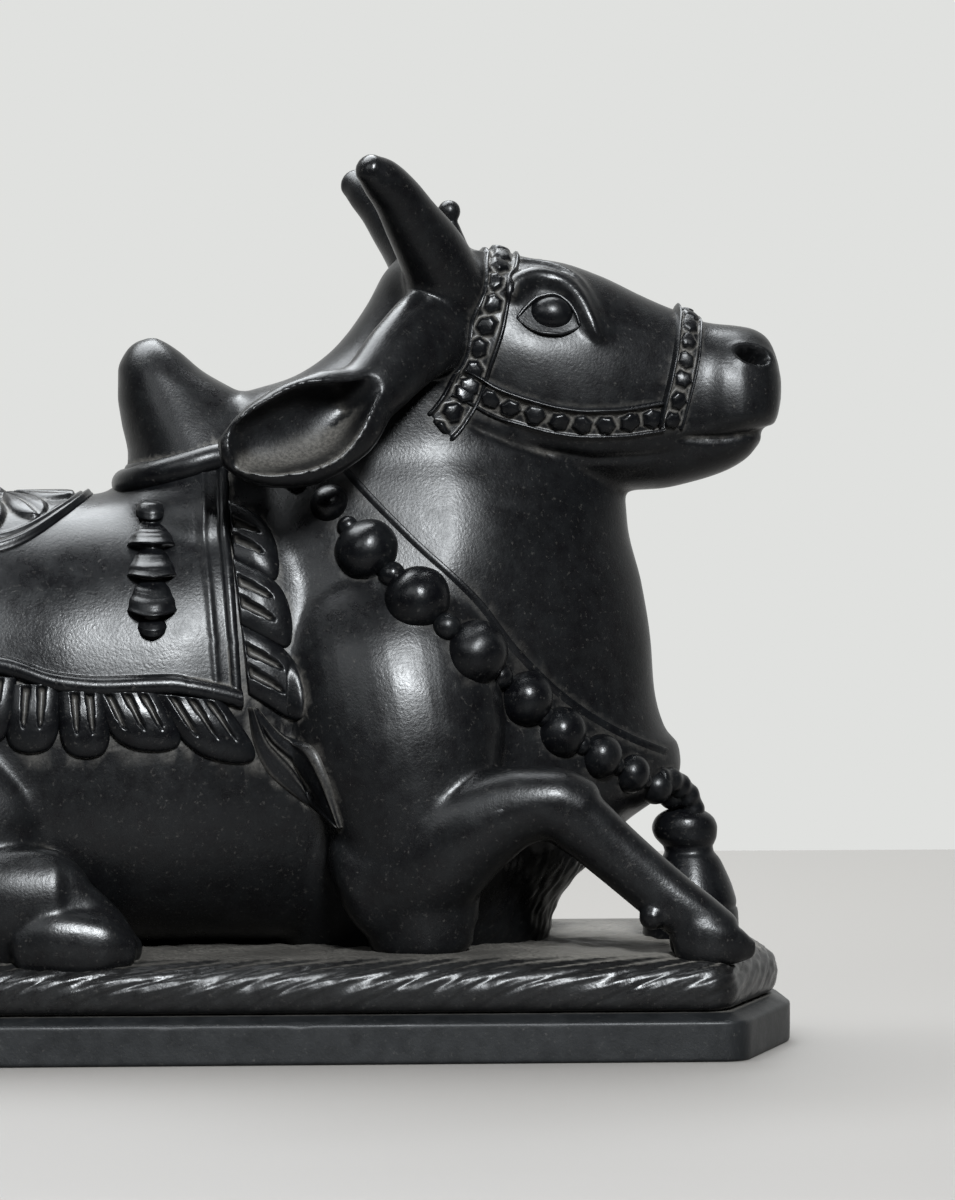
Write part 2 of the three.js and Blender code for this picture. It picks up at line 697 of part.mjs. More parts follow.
function eye(side) {
  const [, top, widest] = rowAt(HEAD, EYE.x);
  const level = lerp(widest, top, EYE.share);
  const seat = (x, height, lift) => place(x, side * (headSide(x, height) + lift), height);
  const lid = (angle, grow, lift) => {
    const x = EYE.x + lerp(-EYELID.back, EYELID.front, (1 - grow * Math.cos(angle)) / 2);
    const height = level + grow * Math.sin(angle) * (angle < Math.PI ? EYELID.rise : EYELID.drop);
    return seat(x, height, lift);
  };
  const rings = [[0.86, -EYELID.root], [0.98, EYELID.lift], [1.2, -EYELID.root]];
  const lids = rings.map(([grow, lift]) => round(8, (angle) => lid(angle, grow, lift)));
  const brow = BROW.map(([ahead, above]) => seat(EYE.x + ahead, level + above, 0));
  return [
    ball(seat(EYE.x, level, -EYE.sunk), UNIT * EYE.radius, 8, 6),
    ringed(lids),
    rod(smooth(brow, 6), UNIT * BROW_RADIUS, 4),
  ];
}

function nostril(side) {
  const geometry = new THREE.SphereGeometry(1, 10, 6);
  geometry.scale(UNIT * NOSTRIL.length, UNIT * NOSTRIL.depth, UNIT * NOSTRIL.rise);
  geometry.rotateY(NOSTRIL.tilt);
  const seat = place(NOSTRIL.x, side * headSide(NOSTRIL.x, NOSTRIL.height), NOSTRIL.height);
  geometry.translate(seat.x, seat.y, seat.z);
  return solid(geometry);
}

// The forward foot with its cleft: two toes side by side under the shin's end.
function hoof(side) {
  const [endX, out] = NEAR_SHIN[NEAR_SHIN.length - 1];
  const toes = [-TOE_SPREAD, TOE_SPREAD].map((share) => {
    const geometry = new THREE.SphereGeometry(1, 6, 5);
    geometry.scale(UNIT * HOOF.halfLength, UNIT * HOOF.halfWidth * TOE_WIDTH, UNIT * (HOOF.height + SINK));
    const seat = place(endX - HOOF.back, side * (out + share * HOOF.halfWidth), -SINK);
    geometry.translate(seat.x, seat.y, seat.z);
    return solid(geometry);
  });
  return joined(toes);
}

function dewclaw(side) {
  const [x, out, height, across, upright] = rowAt(NEAR_SHIN, DEWCLAW.x);
  const seat = place(x, side * (out + DEWCLAW.side * across), height + DEWCLAW.height * upright);
  return ball(seat, UNIT * DEWCLAW.radius, 8, 6);
}

function hindLeg(side) {
  return [
    limb(UPPER_THIGH, side, 10),
    limb(SHANK, side, 7),
    limb(CANNON, side, 7),
    hindFoot(side),
  ];
}

// The hind foot lies forward, its front sloping down to the plinth, with a rounded toe on its outer side.
function hindFoot(side) {
  const [, out] = CANNON[CANNON.length - 1];
  const sections = [-0.5, 0.5].map((share) => HIND_FOOT.map(([x, height]) => place(
    x, side * (out + share * HIND_FOOT_WIDTH), height)));
  const toe = HIND_TOE.map(([x, away, ...rest]) => [x, out + away, ...rest]);
  return joined([loft(sections), limb(toe, side, 7)]);
}

function forelegs() {
  return [
    limb(NEAR_UPPER_ARM, NEAR, 8),
    limb(NEAR_FOREARM, NEAR, 9),
    limb(NEAR_SHIN, NEAR, 8),
    hoof(NEAR),
    dewclaw(NEAR),
    limb(NEAR_UPPER_ARM, FAR, 8),
    limb(FAR_FOREARM, FAR, 8),
    limb(FAR_SHIN, FAR, 7),
  ];
}

// The knob on the poll, on a stem that narrows towards it.
function pollKnob() {
  const { x, height, radius } = POLL_KNOB;
  const root = rowAt(HEAD, x)[1] - POLL_STEM_ROOT;
  const stem = POLL_STEM.map(([share, grow]) => [x, 0, lerp(root, height, share), grow * radius, grow * radius]);
  return [ball(place(x, 0, height), UNIT * radius, 8, 6), limb(stem, 1, 7)];
}

function carvedBull() {
  const body = [
    uprightLoft(TRUNK, TRUNK_POWER, 14),
    levelLoft(NECK, NECK_BACK_POWER, NECK_FRONT_POWER, 14),
    levelLoft(HUMP, HUMP_POWER, HUMP_POWER, 10),
    uprightLoft(HEAD, HEAD_POWER, 14),
    uprightLoft(JAW, HEAD_POWER, 8),
    limb(TAIL, 1, 6),
    ...forelegs(),
    ...pollKnob(),
    bell(),
    cloth(),
    medallion(),
    collarRoll(),
  ];
  SIDES.forEach((side) => {
    body.push(limb(HORN, side, 8), ear(side), ...hindLeg(side), ...eye(side));
    body.push(...garland(side), ...fringe(side), tassel(side));
    body.push(...STRAPS.map((row) => strap(row, side)));
  });
  const cuts = SIDES.map(nostril);
  return joined(body).subtract(joined(cuts));
}

// The plan of the plinth or the slab: a long oblong whose corners are cut off and softly rounded.
function planPoints(halfLength, halfWidth, step) {
  const cutAcross = CORNER_CUT * halfWidth;
  const cut = [
    [halfLength, -halfWidth + cutAcross],
    [halfLength, halfWidth - cutAcross],
    [halfLength - CORNER_LENGTH, halfWidth],
    [-halfLength + CORNER_LENGTH, halfWidth],
    [-halfLength, halfWidth - cutAcross],
    [-halfLength, -halfWidth + cutAcross],
    [-halfLength + CORNER_LENGTH, -halfWidth],
    [halfLength - CORNER_LENGTH, -halfWidth],
  ].map(([x, y]) => new THREE.Vector2(x, y));
  const path = new THREE.CurvePath();
  const reach = CORNER_ROUNDING * CORNER_LENGTH;
  cut.forEach((corner, i) => {
    const next = cut[(i + 1) % cut.length];
    const after = cut[(i + 2) % cut.length];
    const start = corner.clone().add(next.clone().sub(corner).setLength(reach));
    const stop = next.clone().add(corner.clone().sub(next).setLength(reach));
    const turn = next.clone().add(after.clone().sub(next).setLength(reach));
    path.add(new THREE.LineCurve(start, stop));
    path.add(new THREE.QuadraticBezierCurve(stop, next, turn));
  });
  const count = Math.round(path.getLength() / step);
  return { path, count };
}

// The plinth's rim swells out between its foot and its top and is cut into flutes that lean forward.
function plinth() {
  const { path, count } = planPoints(PLINTH_HALF_LENGTH, PLINTH_HALF_WIDTH, FLUTE_PITCH / 2);
  const steps = 2 * Math.round(count / 2);
  const total = path.getLength();
  const sections = PLINTH_RIM.map(([rise, inset, flute]) => Array.from({ length: steps }, (_, i) => {
    const share = (((i / steps + (FLUTE_LEAN * rise) / total) % 1) + 1) % 1;
    const on = path.getPointAt(share);
    const ahead = path.getTangentAt(share);
    const inward = inset + (i % 2) * flute * FLUTE_DEPTH;
    return new THREE.Vector3(
      on.x - ahead.y * inward, on.y + ahead.x * inward, PLINTH_FOOT + rise * PLINTH_THICKNESS);
  }));
  return loft(sections);
}

function slab() {
  const { path } = planPoints(PLINTH_HALF_LENGTH + SLAB_LEDGE, PLINTH_HALF_WIDTH + SLAB_SIDE_LEDGE, FLUTE_PITCH);
  const outline = path.getPoints(3);
  const shape = new THREE.Shape(outline.slice(0, -1));
  const geometry = new THREE.ExtrudeGeometry(shape, {
    depth: SLAB_THICKNESS - 2 * SLAB_BEVEL,
    bevelThickness: SLAB_BEVEL,
    bevelSize: SLAB_BEVEL,
    bevelOffset: -SLAB_BEVEL,
    bevelSegments: 1,
  });
  geometry.translate(0, 0, SLAB_BEVEL);
  return solid(geometry);
}

function mesh(name, body, finish) {
  const { vertProperties, triVerts } = body.getMesh();
  const geometry = new THREE.BufferGeometry();
  geometry.setAttribute('position', new THREE.BufferAttribute(vertProperties, 3));
  geometry.setIndex(new THREE.BufferAttribute(triVerts, 1));
  geometry.computeVertexNormals();
  const part = new THREE.Mesh(geometry, new THREE.MeshStandardMaterial(finish));
  part.name = name;
  return part;
}

const figure = new THREE.Group();
figure.add(mesh('nandi_bull', carvedBull().add(plinth()), STONE));
figure.add(mesh('base_slab', slab(), STONE));

export default figure;
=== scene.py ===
"""Looks of a reclining bull figure carved in black stone, with its fluted plinth and its slab.

Every surface is worked out with numpy in figure units, which are millimetres: x runs towards the bull's head,
side is 0 in the middle and negative on the side that is seen, and height is counted from the plinth's top.
"""

from __future__ import annotations

import json
import logging
import math
from dataclasses import dataclass, field
from enum import Enum
from typing import Callable, Sequence

import bmesh
import bpy
import numpy as np
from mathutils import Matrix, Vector

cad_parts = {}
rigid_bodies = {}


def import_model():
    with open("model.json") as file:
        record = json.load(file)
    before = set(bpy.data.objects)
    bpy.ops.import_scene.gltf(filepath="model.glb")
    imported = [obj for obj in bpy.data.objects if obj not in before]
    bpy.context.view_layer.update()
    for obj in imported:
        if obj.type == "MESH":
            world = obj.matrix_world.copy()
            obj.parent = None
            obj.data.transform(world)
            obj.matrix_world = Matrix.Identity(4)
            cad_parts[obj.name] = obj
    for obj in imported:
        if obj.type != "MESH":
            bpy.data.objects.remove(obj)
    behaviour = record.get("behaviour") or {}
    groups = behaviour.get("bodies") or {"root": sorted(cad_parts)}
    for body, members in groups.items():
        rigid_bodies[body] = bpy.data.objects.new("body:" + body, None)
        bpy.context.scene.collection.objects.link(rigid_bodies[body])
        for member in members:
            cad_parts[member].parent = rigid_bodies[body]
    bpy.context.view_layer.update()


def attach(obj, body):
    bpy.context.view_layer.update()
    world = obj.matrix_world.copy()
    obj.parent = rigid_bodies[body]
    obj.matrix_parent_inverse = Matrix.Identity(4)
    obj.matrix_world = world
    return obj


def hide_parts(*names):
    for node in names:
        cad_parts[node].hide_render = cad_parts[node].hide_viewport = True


Array = np.ndarray
Rows = Sequence[Sequence[float]]
Relief = Callable[[Array, Array], Array]

METRE = 1000.0
# The slab's middle along x in figure units, and the heights over the table of the plinth's and the slab's top.
FIGURE_MIDDLE = 9.5
PLINTH_TOP = 28.7
SLAB_TOP = 13.5
# The open joint between slab and plinth, and how deep the bull's forms reach into the plinth.
JOINT_GAP = 0.3
SINK = 1.5
# How far out to the side the lines start that look for the stone.
FAR_OUT = 120.0
# How deep the underside of an ornament lies in the body.
ROOT = 1.6
# The sections of a large round form, and the points in each.
FORM_SECTIONS = 150
FORM_COLUMNS = 110
# Half the length of the line in the middle that the rings of the plinth's and the slab's faces are drawn in to.
SPINE = 110.0
BODY = "root"

log = logging.getLogger("bull")


class Side(Enum):
    """The two sides of the figure, as the sign of the side coordinate."""

    NEAR = -1.0
    FAR = 1.0


SIDES = tuple(side.value for side in Side)

# The stations of the carving, the same as the solid's, with the rows between them that only the fine surface needs.
TRUNK = (
    # x, top, widest, bottom, half width
    (-154, 84, 68, 50, 13), (-151, 98, 66, 26, 29), (-144, 109, 61, 6, 41), (-131, 118.5, 57, -SINK, 49.5),
    (-108, 124.5, 53, -SINK, 54.5), (-78, 126, 48, -SINK, 54), (-44, 126.3, 47, -SINK, 53.4),
    (-14, 126.3, 47, -SINK, 55), (12, 127.5, 48, -SINK, 54.2), (34, 131, 50, -SINK, 50.5),
    (58, 132, 52, -SINK, 43.5), (80, 122, 54, -SINK, 38), (102, 92, 52, 4, 30),
)
TRUNK_POWER = 2.35
NECK = (
    # height, back, widest, front, half width
    (-SINK, 44, 84, 123.5, 33), (6, 40, 84, 125, 38), (11, 36, 84, 127, 41), (20, 32, 84, 134.5, 45),
    (33, 28, 84, 146, 47), (39, 26, 84, 154.5, 47), (44, 24, 84, 160.5, 47), (50, 22, 84, 162, 47),
    (55, 20, 83, 161.3, 47), (60, 20, 82, 157.5, 47), (72, 18, 76, 154.3, 46.5), (86, 16, 80, 153.2, 45.5),
    (102, 14, 87, 150.5, 42.4), (118, 14, 92, 146.5, 37.8), (130, 16, 92, 145.5, 33.6), (142, 22, 90, 141, 29),
    (156, 35, 89, 133, 27.6), (161, 50, 91, 130, 27), (168, 60.5, 94, 126, 25.5), (182, 71.5, 97, 121, 23.5),
    (191, 76.5, 97, 116, 22.5), (197, 82, 97, 109, 17),
)
NECK_BACK_POWER = 2.2
NECK_FRONT_POWER = 1.6
HUMP = (
    # height, back, widest, front, half width
    (104, -12, 24, 58, 36), (122, -7, 24, 58, 34), (130, 0.5, 24, 56, 30), (138, 3.2, 23, 52, 24.5),
    (148, 1.2, 19, 46, 19.5), (156, 0, 15, 36, 15.5), (163, 0, 11.5, 24, 12), (168.5, 2.4, 10, 17.4, 7.8),
    (171, 5.2, 9.6, 13.6, 4.2), (172.2, 8.6, 9.8, 11, 1.2),
)
HEAD = (
    # x, top, widest, bottom, half width
    (84, 184, 172, 158, 12), (92, 193, 168, 148, 21), (100, 196.6, 164, 141, 25), (108, 197.2, 161, 136, 26.6),
    (118, 195.3, 160, 132, 27), (127, 193.9, 158, 130, 26.4), (138, 190.3, 156, 129, 24.8),
    (150, 184.8, 154, 129.5, 22), (158, 181.4, 153, 131, 19.7), (163, 179.6, 152.5, 133, 18.5),
    (168, 177.2, 151.6, 137.6, 18.2), (172.5, 176.4, 151, 141, 19.1), (177, 176, 151, 143, 19.3),
    (182, 175.2, 151.5, 144.4, 17.8), (186.5, 172.6, 153, 145.6, 14.8), (189.2, 167, 155, 148.5, 11),
    (190.4, 162, 157, 153, 6.5),
)
HEAD_POWER = 2.25
JAW = (
    (118, 152, 142, 131, 18), (138, 152, 142, 128.4, 17.5), (155, 152, 143, 129, 16.6), (166, 152, 144, 131.2, 16),
    (175, 152, 146, 134.2, 15), (181, 151, 146, 138, 12.6), (184.6, 149.5, 146.5, 142.4, 8.5),
)

# Limbs and other round forms: a path with the half sizes across it and upright.
NEAR_UPPER_ARM = (
    (70, 18, 112, 12, 22), (72, 28, 96, 16, 28), (75, 37, 78, 19, 31), (78, 41.5, 60, 19.5, 30),
    (81, 43.5, 42, 18.5, 25), (83, 44.6, 22, 15.5, 19), (84, 44, 4, 12, 15),
)
NEAR_FOREARM = (
    (70, 44, 18, 13, 19), (84, 49, 25, 13.5, 17.5), (98, 53, 35.5, 12.5, 14.6), (111, 55.5, 41.2, 11, 11.4),
    (120, 56.5, 42.4, 10.4, 9.8), (126.5, 57, 40, 9.6, 9.4),
)
NEAR_SHIN = (
    (115, 56.5, 41.5, 9, 8), (121, 56.8, 41, 10, 10), (128, 57, 36.2, 9.2, 9.2), (137, 57.2, 28.4, 8.2, 8.4),
    (147, 57.6, 19.8, 7.8, 8), (157, 58, 11.6, 8.4, 8), (166, 58, 5.4, 8.6, 7),
)
FAR_FOREARM = (
    (66, 42, 26, 14, 18), (84, 47, 22, 14, 15), (104, 47, 17, 13, 12.5), (113, 45, 15, 12, 11.5),
    (120, 43, 13.5, 10, 10.5), (123.5, 42, 12.5, 6, 7),
)
FAR_SHIN = ((115, 43, 9, 9, 9), (104, 49, 6.5, 8, 8), (88, 56, 5.5, 7.6, 7), (72, 59, 5.5, 8, 7))
UPPER_THIGH = (
    (-136, 24, 70, 10, 18), (-126, 33, 58, 17, 30), (-104, 41, 50, 19.5, 35), (-78, 45, 44, 18, 33),
    (-50, 48, 37, 14.5, 28), (-32, 48.5, 34, 11, 19), (-22, 48, 33, 6, 11),
)
SHANK = ((-48, 52, 26, 10, 16), (-74, 55, 17, 10, 13), (-96, 57, 12.5, 10, 13), (-112, 57, 13, 9.5, 14),
         (-119, 56.5, 13.5, 6, 9))
CANNON = ((-108, 57, 13, 9, 14), (-90, 58, 12, 8.6, 12.4), (-66, 58, 12, 8.4, 12.4), (-46, 58, 13.6, 9.2, 14.2),
          (-28, 58, 14.8, 10, 15.4), (-19, 58, 14.6, 10, 15.4))
HORN = ((95, 15, 182, 12.2, 12.2), (91.5, 20, 190, 10.9, 10.9), (87.3, 25.5, 197.6, 9.6, 9.6),
        (82.4, 31, 204.6, 8.2, 8.2), (77.8, 36, 211.2, 7, 7), (73.2, 40.4, 216, 6, 6), (69.6, 43.4, 218.7, 4.3, 4.3))
EAR = ((97, 9, 180, 7, 12), (89, 24, 174.5, 8, 12.5), (80, 35.5, 167.3, 7.4, 11), (70, 45, 157, 7.5, 9.6),
       (60, 51, 149.5, 8.5, 13.6), (50, 55, 144.6, 8.5, 14.6), (40, 57.5, 141.6, 7.5, 12.4),
       (32, 58.5, 140, 5.5, 8), (27.5, 59, 139.4, 3, 3.6))
KNOB_STEM = ((95, 0, 190, 9, 9), (95, 0, 199, 5.4, 5.4), (95, 0, 204, 3.2, 3.2))
TAIL = ((-128, 0, 115, 8, 8), (-143, -1, 108, 6.8, 7), (-151.5, -3, 92, 5.6, 5.6), (-153.5, -6, 66, 4.8, 4.8),
        (-151.5, -10, 40, 4.6, 4.6), (-149.5, -15, 22, 6.6, 6), (-149, -20, 9, 7.6, 6.4), (-149, -24, -2, 5, 4))


def monotone(knots: Array, values: Array, at: Array) -> Array:
    """A smooth curve through values that never swings past them.

    Each piece is the cubic with Fritsch and Carlson's slopes: the weighted harmonic mean of the two neighbouring
    slopes, or none where they have different signs.

    Args:
        knots: increasing places, (n,).
        values: a row of values for each place, (n, k).
        at: the places to work out, (m,).

    Returns:
        The values there, (m, k).
    """
    gap = np.diff(knots)
    slope = np.diff(values, axis=0) / gap[:, None]
    left, right = slope[:-1], slope[1:]
    agree = left * right > 0
    weight_left, weight_right = (2 * gap[1:] + gap[:-1])[:, None], (gap[1:] + 2 * gap[:-1])[:, None]
    harmonic = (weight_left + weight_right) / (
        weight_left / np.where(agree, left, 1) + weight_right / np.where(agree, right, 1))
    tangent = np.vstack([slope[:1], np.where(agree, harmonic, 0), slope[-1:]])
    cell = np.clip(np.searchsorted(knots, at) - 1, 0, len(gap) - 1)
    share = np.clip((at - knots[cell]) / gap[cell], 0, 1)[:, None]
    width = gap[cell][:, None]
    rest = 1 - share
    return (values[cell] * (1 + 2 * share) * rest**2 + width * tangent[cell] * share * rest**2
            + values[cell + 1] * share**2 * (3 - 2 * share) - width * tangent[cell + 1] * share**2 * rest)


def travelled(points: Array) -> Array:
    """The way along a path from its first point to each of its points, (n,)."""
    return np.concatenate([[0], np.cumsum(np.linalg.norm(np.diff(points, axis=0), axis=1))])


def resampled(rows: Rows, count: int) -> Array:
    """A table of stations as evenly spaced rows on a smooth curve through them, (count, columns).

    Args:
        rows: the stations.
        count: how many rows to give.

    Returns:
        The rows.
    """
    table = np.array(rows, float)
    travel = travelled(table)
    return monotone(travel, table, np.linspace(0, travel[-1], count))


def stations(rows: Rows, at: Array) -> Array:
    """The rows of a table at given values of its first column, (m, columns)."""
    table = np.array(rows, float)
    return monotone(table[:, 0], table, np.asarray(at, float))


def turns(count: int) -> Array:
    """Angles once round, in equal steps, without the last one, which is the first again."""
    return np.arange(count) * (2 * np.pi / count)


def superellipse(angle: Array, power: float | Array) -> tuple[Array, Array]:
    """The sine and cosine of a rounded oblong: each is raised to 2 / power, with its sign kept."""
    sine, cosine = np.sin(angle), np.cos(angle)
    return (np.sign(sine) * np.abs(sine) ** (2 / power), np.sign(cosine) * np.abs(cosine) ** (2 / power))


def smoothstep(low: float, high: float, value: Array) -> Array:
    """0 below low, 1 above high, and 3t² - 2t³ between them."""
    share = np.clip((value - low) / (high - low), 0, 1)
    return share * share * (3 - 2 * share)


def bump(value: Array, middle: float, width: float) -> Array:
    """The bell curve exp(-((value - middle) / width)²)."""
    return np.exp(-(((value - middle) / width) ** 2))


def unit(vectors: Array) -> Array:
    """Vectors divided by their lengths."""
    return vectors / np.maximum(np.linalg.norm(vectors, axis=-1, keepdims=True), 1e-9)


def ripple(points: Array, wavelength: float, seed: int) -> Array:
    """Irregular waves, mostly between -1 and 1: the sum of fourteen sines along random ways, over the root of 14.

    Args:
        points: the places, (..., 3).
        wavelength: the waves' mean length.
        seed: the seed of their directions.

    Returns:
        A value for each place.
    """
    rng, waves = np.random.default_rng(seed), 14
    ways = unit(rng.normal(size=(waves, 3))) * (2 * np.pi / wavelength) * rng.uniform(0.6, 1.5, (waves, 1))
    return np.sin(points @ ways.T + rng.uniform(0, 2 * np.pi, waves)).sum(-1) / math.sqrt(waves)


def section_side(rows: Rows, power: float, x: Array, height: Array) -> Array:
    """How far a table's upright sections reach to the side: half width · (1 - share^power)^(1 / power).

    Args:
        rows: stations of x, top, widest, bottom and half width.
        power: the sections' power.
        x: places along the form.
        height: heights there.

    Returns:
        The reach at each place.
    """
    x, height = np.broadcast_arrays(np.asarray(x, float), np.asarray(height, float))
    found = stations(rows, x.ravel()).reshape(*x.shape, -1)
    top, widest, bottom, half = (found[..., k] for k in (1, 2, 3, 4))
    share = np.abs(height - widest) / np.where(height > widest, top - widest, widest - bottom)
    return half * np.clip(1 - np.minimum(share, 1) ** power, 0, 1) ** (1 / power)


def head_side(x: Array, height: Array) -> Array:
    """How far the head reaches to the side at a place on its profile."""
    return np.maximum(section_side(HEAD, HEAD_POWER, x, height), section_side(JAW, HEAD_POWER, x, height))


def along(points: Array, count: int) -> Array:
    """Evenly spaced points on the smooth curve through some points, (count, columns).

    Args:
        points: the points, (n, columns).
        count: how many to give.

    Returns:
        The new points.
    """
    travel = travelled(points)
    fine = monotone(travel, points, np.linspace(0, travel[-1], 8 * count))
    run = travelled(fine)
    places = np.linspace(0, run[-1], count)
    return np.stack([np.interp(places, run, fine[:, k]) for k in range(fine.shape[1])], -1)


def closed_loft(sections: Array) -> Array:
    """Sections (n, m, 3) with each end drawn together to the middle of its last section, (n + 2, m, 3).

    Args:
        sections: the sections in order.

    Returns:
        The same with both ends closed.
    """
    first = np.broadcast_to(sections[0].mean(0), sections[0].shape)
    last = np.broadcast_to(sections[-1].mean(0), sections[-1].shape)
    return np.concatenate([first[None], sections, last[None]])


def upright_form(rows: Rows, power: float) -> Array:
    """A body in upright sections: each is a superellipse with its own height above and below its widest place.

    Args:
        rows: stations of x, top, widest, bottom and half width.
        power: the sections' power.

    Returns:
        The closed sections, (n, m, 3).
    """
    table = resampled(rows, FORM_SECTIONS)[:, None, :]
    x, top, widest, bottom, half = (table[..., k] for k in range(5))
    side, rise = superellipse(turns(FORM_COLUMNS)[None, :], power)
    height = widest + rise * np.where(rise > 0, top - widest, widest - bottom)
    return closed_loft(np.stack(np.broadcast_arrays(x, side * half, height), -1))


def level_form(rows: Rows, back_power: float, front_power: float) -> Array:
    """A body in level sections: each is a superellipse with one power in front of its widest place, one behind.

    Args:
        rows: stations of height, back, widest, front and half width.
        back_power: the power behind the widest place.
        front_power: the power in front of it.

    Returns:
        The closed sections, (n, m, 3).
    """
    table = resampled(rows, FORM_SECTIONS)[:, None, :]
    height, back, widest, front, half = (table[..., k] for k in range(5))
    angle = turns(FORM_COLUMNS)[None, :]
    side, ahead = superellipse(angle, np.where(np.cos(angle) > 0, front_power, back_power))
    x = widest + ahead * np.where(ahead > 0, front - widest, widest - back)
    return closed_loft(np.stack(np.broadcast_arrays(x, side * half, height), -1))


def frame_along(path: Array, hint: Array) -> tuple[Array, Array, Array]:
    """The direction of a path, the hint square to it, and the cross product of the two, each (n, 3).

    Args:
        path: the path's points, (n, 3).
        hint: the direction to keep close to.

    Returns:
        Ahead, the hint made square to it, and the third direction.
    """
    ahead = unit(np.gradient(path, axis=0))
    level = unit(hint - (hint * ahead).sum(-1, keepdims=True) * ahead)
    return ahead, level, np.cross(ahead, level)


def limb(rows: Rows, side: float, along_count: int = 60, round_count: int = 40, power: float = 2.0) -> Array:
    """A round form along a path, with domed ends.

    The section at a place is centre + level · across · sin + up · upright · cos, and it shrinks to nothing at both
    ends as the circle sqrt(1 - t²) does.

    Args:
        rows: stations of x, side, height and the two half sizes.
        side: the sign of the side.
        along_count: how many sections.
        round_count: points in each.
        power: the sections' power.

    Returns:
        The closed sections, (n, m, 3).
    """
    table = resampled(rows, along_count)
    path = table[:, :3] * (1, side, 1)
    ahead, level, up = frame_along(path, np.array([0.0, 1.0, 0.0]))
    dome = np.sin(np.linspace(0, np.pi / 2, 8))[:-1]
    reach = np.cos(np.linspace(0, np.pi / 2, 8))[:-1]
    size = 0.7 * table[:, 3:].min(1)
    head = path[0] - ahead[0] * size[0] * reach[:, None]
    tail = path[-1] + ahead[-1] * size[-1] * reach[::-1, None]
    centres = np.vstack([head, path, tail])
    grown = np.concatenate([dome, np.ones(along_count), dome[::-1]])

    def stretched(values: Array) -> Array:
        """The values on the path, with the first and last ones repeated over the domes."""
        return np.concatenate([np.repeat(values[:1], len(dome), 0), values, np.repeat(values[-1:], len(dome), 0)])

    across, upright = stretched(table[:, 3]) * grown, stretched(table[:, 4]) * grown
    sine, cosine = superellipse(turns(round_count), power)
    sections = (centres[:, None] + stretched(level)[:, None] * (across[:, None] * sine)[..., None]
                + stretched(up)[:, None] * (upright[:, None] * cosine)[..., None])
    return closed_loft(sections[1:-1])


def tube(path: Array, radius: Array | float, round_count: int = 16) -> Array:
    """A round rod along a path: centre + radius · (level · cos + up · sin).

    Args:
        path: the points of its middle, (n, 3).
        radius: one for all, or one for each point.
        round_count: points in each ring.

    Returns:
        The closed sections, (n, m, 3).
    """
    _, level, up = frame_along(path, np.array([0.31, 0.95, 0.05]))
    angle = turns(round_count)
    sizes = np.broadcast_to(radius, len(path))[:, None, None]
    ring = level[:, None] * np.cos(angle)[:, None] + up[:, None] * np.sin(angle)[:, None]
    return closed_loft(path[:, None] + sizes * ring)


def ball(centre: Sequence[float], radii: Sequence[float], columns: int = 40, rows: int = 24) -> Array:
    """An egg shape: centre + radii · (sin a cos b, sin a sin b, cos a).

    Args:
        centre: its middle.
        radii: its half sizes.
        columns: points in each ring.
        rows: rings.

    Returns:
        The closed sections, (n, m, 3).
    """
    down = np.linspace(0.02, np.pi - 0.02, rows)[:, None]
    around = turns(columns)[None, :]
    sphere = np.stack(np.broadcast_arrays(
        np.sin(down) * np.cos(around), np.sin(down) * np.sin(around), np.cos(down)), -1)
    return closed_loft(np.array(centre) + sphere * np.array(radii))


def quads(rows: int, columns: int) -> Array:
    """The four corners of each cell of a grid whose last column joins its first, (cells, 4).

    Args:
        rows: the grid's rows.
        columns: its columns.

    Returns:
        Four point numbers for each cell.
    """
    here = np.arange(rows * columns).reshape(rows, columns)
    right = np.roll(here, -1, 1)
    return np.stack([here[:-1], here[1:], right[1:], right[:-1]], -1).reshape(-1, 4)


def to_metres(points: Array) -> Array:
    """Figure units as metres in the shared frame."""
    return (points + (-FIGURE_MIDDLE, 0, PLINTH_TOP)) / METRE


def to_figure(points: Array) -> Array:
    """Metres in the shared frame as figure units."""
    return points * METRE - (-FIGURE_MIDDLE, 0, PLINTH_TOP)


def values_of(items: bpy.types.bpy_prop_collection, name: str, width: int, kind: type = np.float32) -> Array:
    """One property of all vertices, normals or edges of a mesh.

    Args:
        items: the vertices, normals or edges.
        name: the property.
        width: its values for each.
        kind: their number type.

    Returns:
        A row for each, (n, width).
    """
    found = np.empty(len(items) * width, kind)
    items.foreach_get(name, found)
    return found.reshape(-1, width)


def coordinates(mesh: bpy.types.Mesh) -> Array:
    """The places of a mesh's vertices, (n, 3), in metres."""
    return values_of(mesh.vertices, "co", 3).astype(float)


def edges_of(mesh: bpy.types.Mesh) -> Array:
    """The two vertices of each edge, (n, 2)."""
    return values_of(mesh.edges, "vertices", 2, np.int32)


def normals_of(mesh: bpy.types.Mesh) -> Array:
    """The normal at each vertex, (n, 3)."""
    return values_of(mesh.vertex_normals, "vector", 3).astype(float)


def reshaped(mesh: bpy.types.Mesh, points: Array) -> None:
    """Moves a mesh's vertices to places in figure units."""
    mesh.vertices.foreach_set("co", to_metres(points).astype(np.float32).ravel())
    mesh.update()


def shaded_smooth(mesh: bpy.types.Mesh) -> None:
    """Shades every face of a mesh smoothly."""
    mesh.polygons.foreach_set("use_smooth", np.ones(len(mesh.polygons), bool))
    mesh.update()


def link(name: str, mesh: bpy.types.Mesh) -> bpy.types.Object:
    """A new object in the scene, at the origin, with a mesh.

    Args:
        name: the object's name.
        mesh: its mesh.

    Returns:
        The object.
    """
    piece = bpy.data.objects.new(name, mesh)
    bpy.context.scene.collection.objects.link(piece)
    return piece


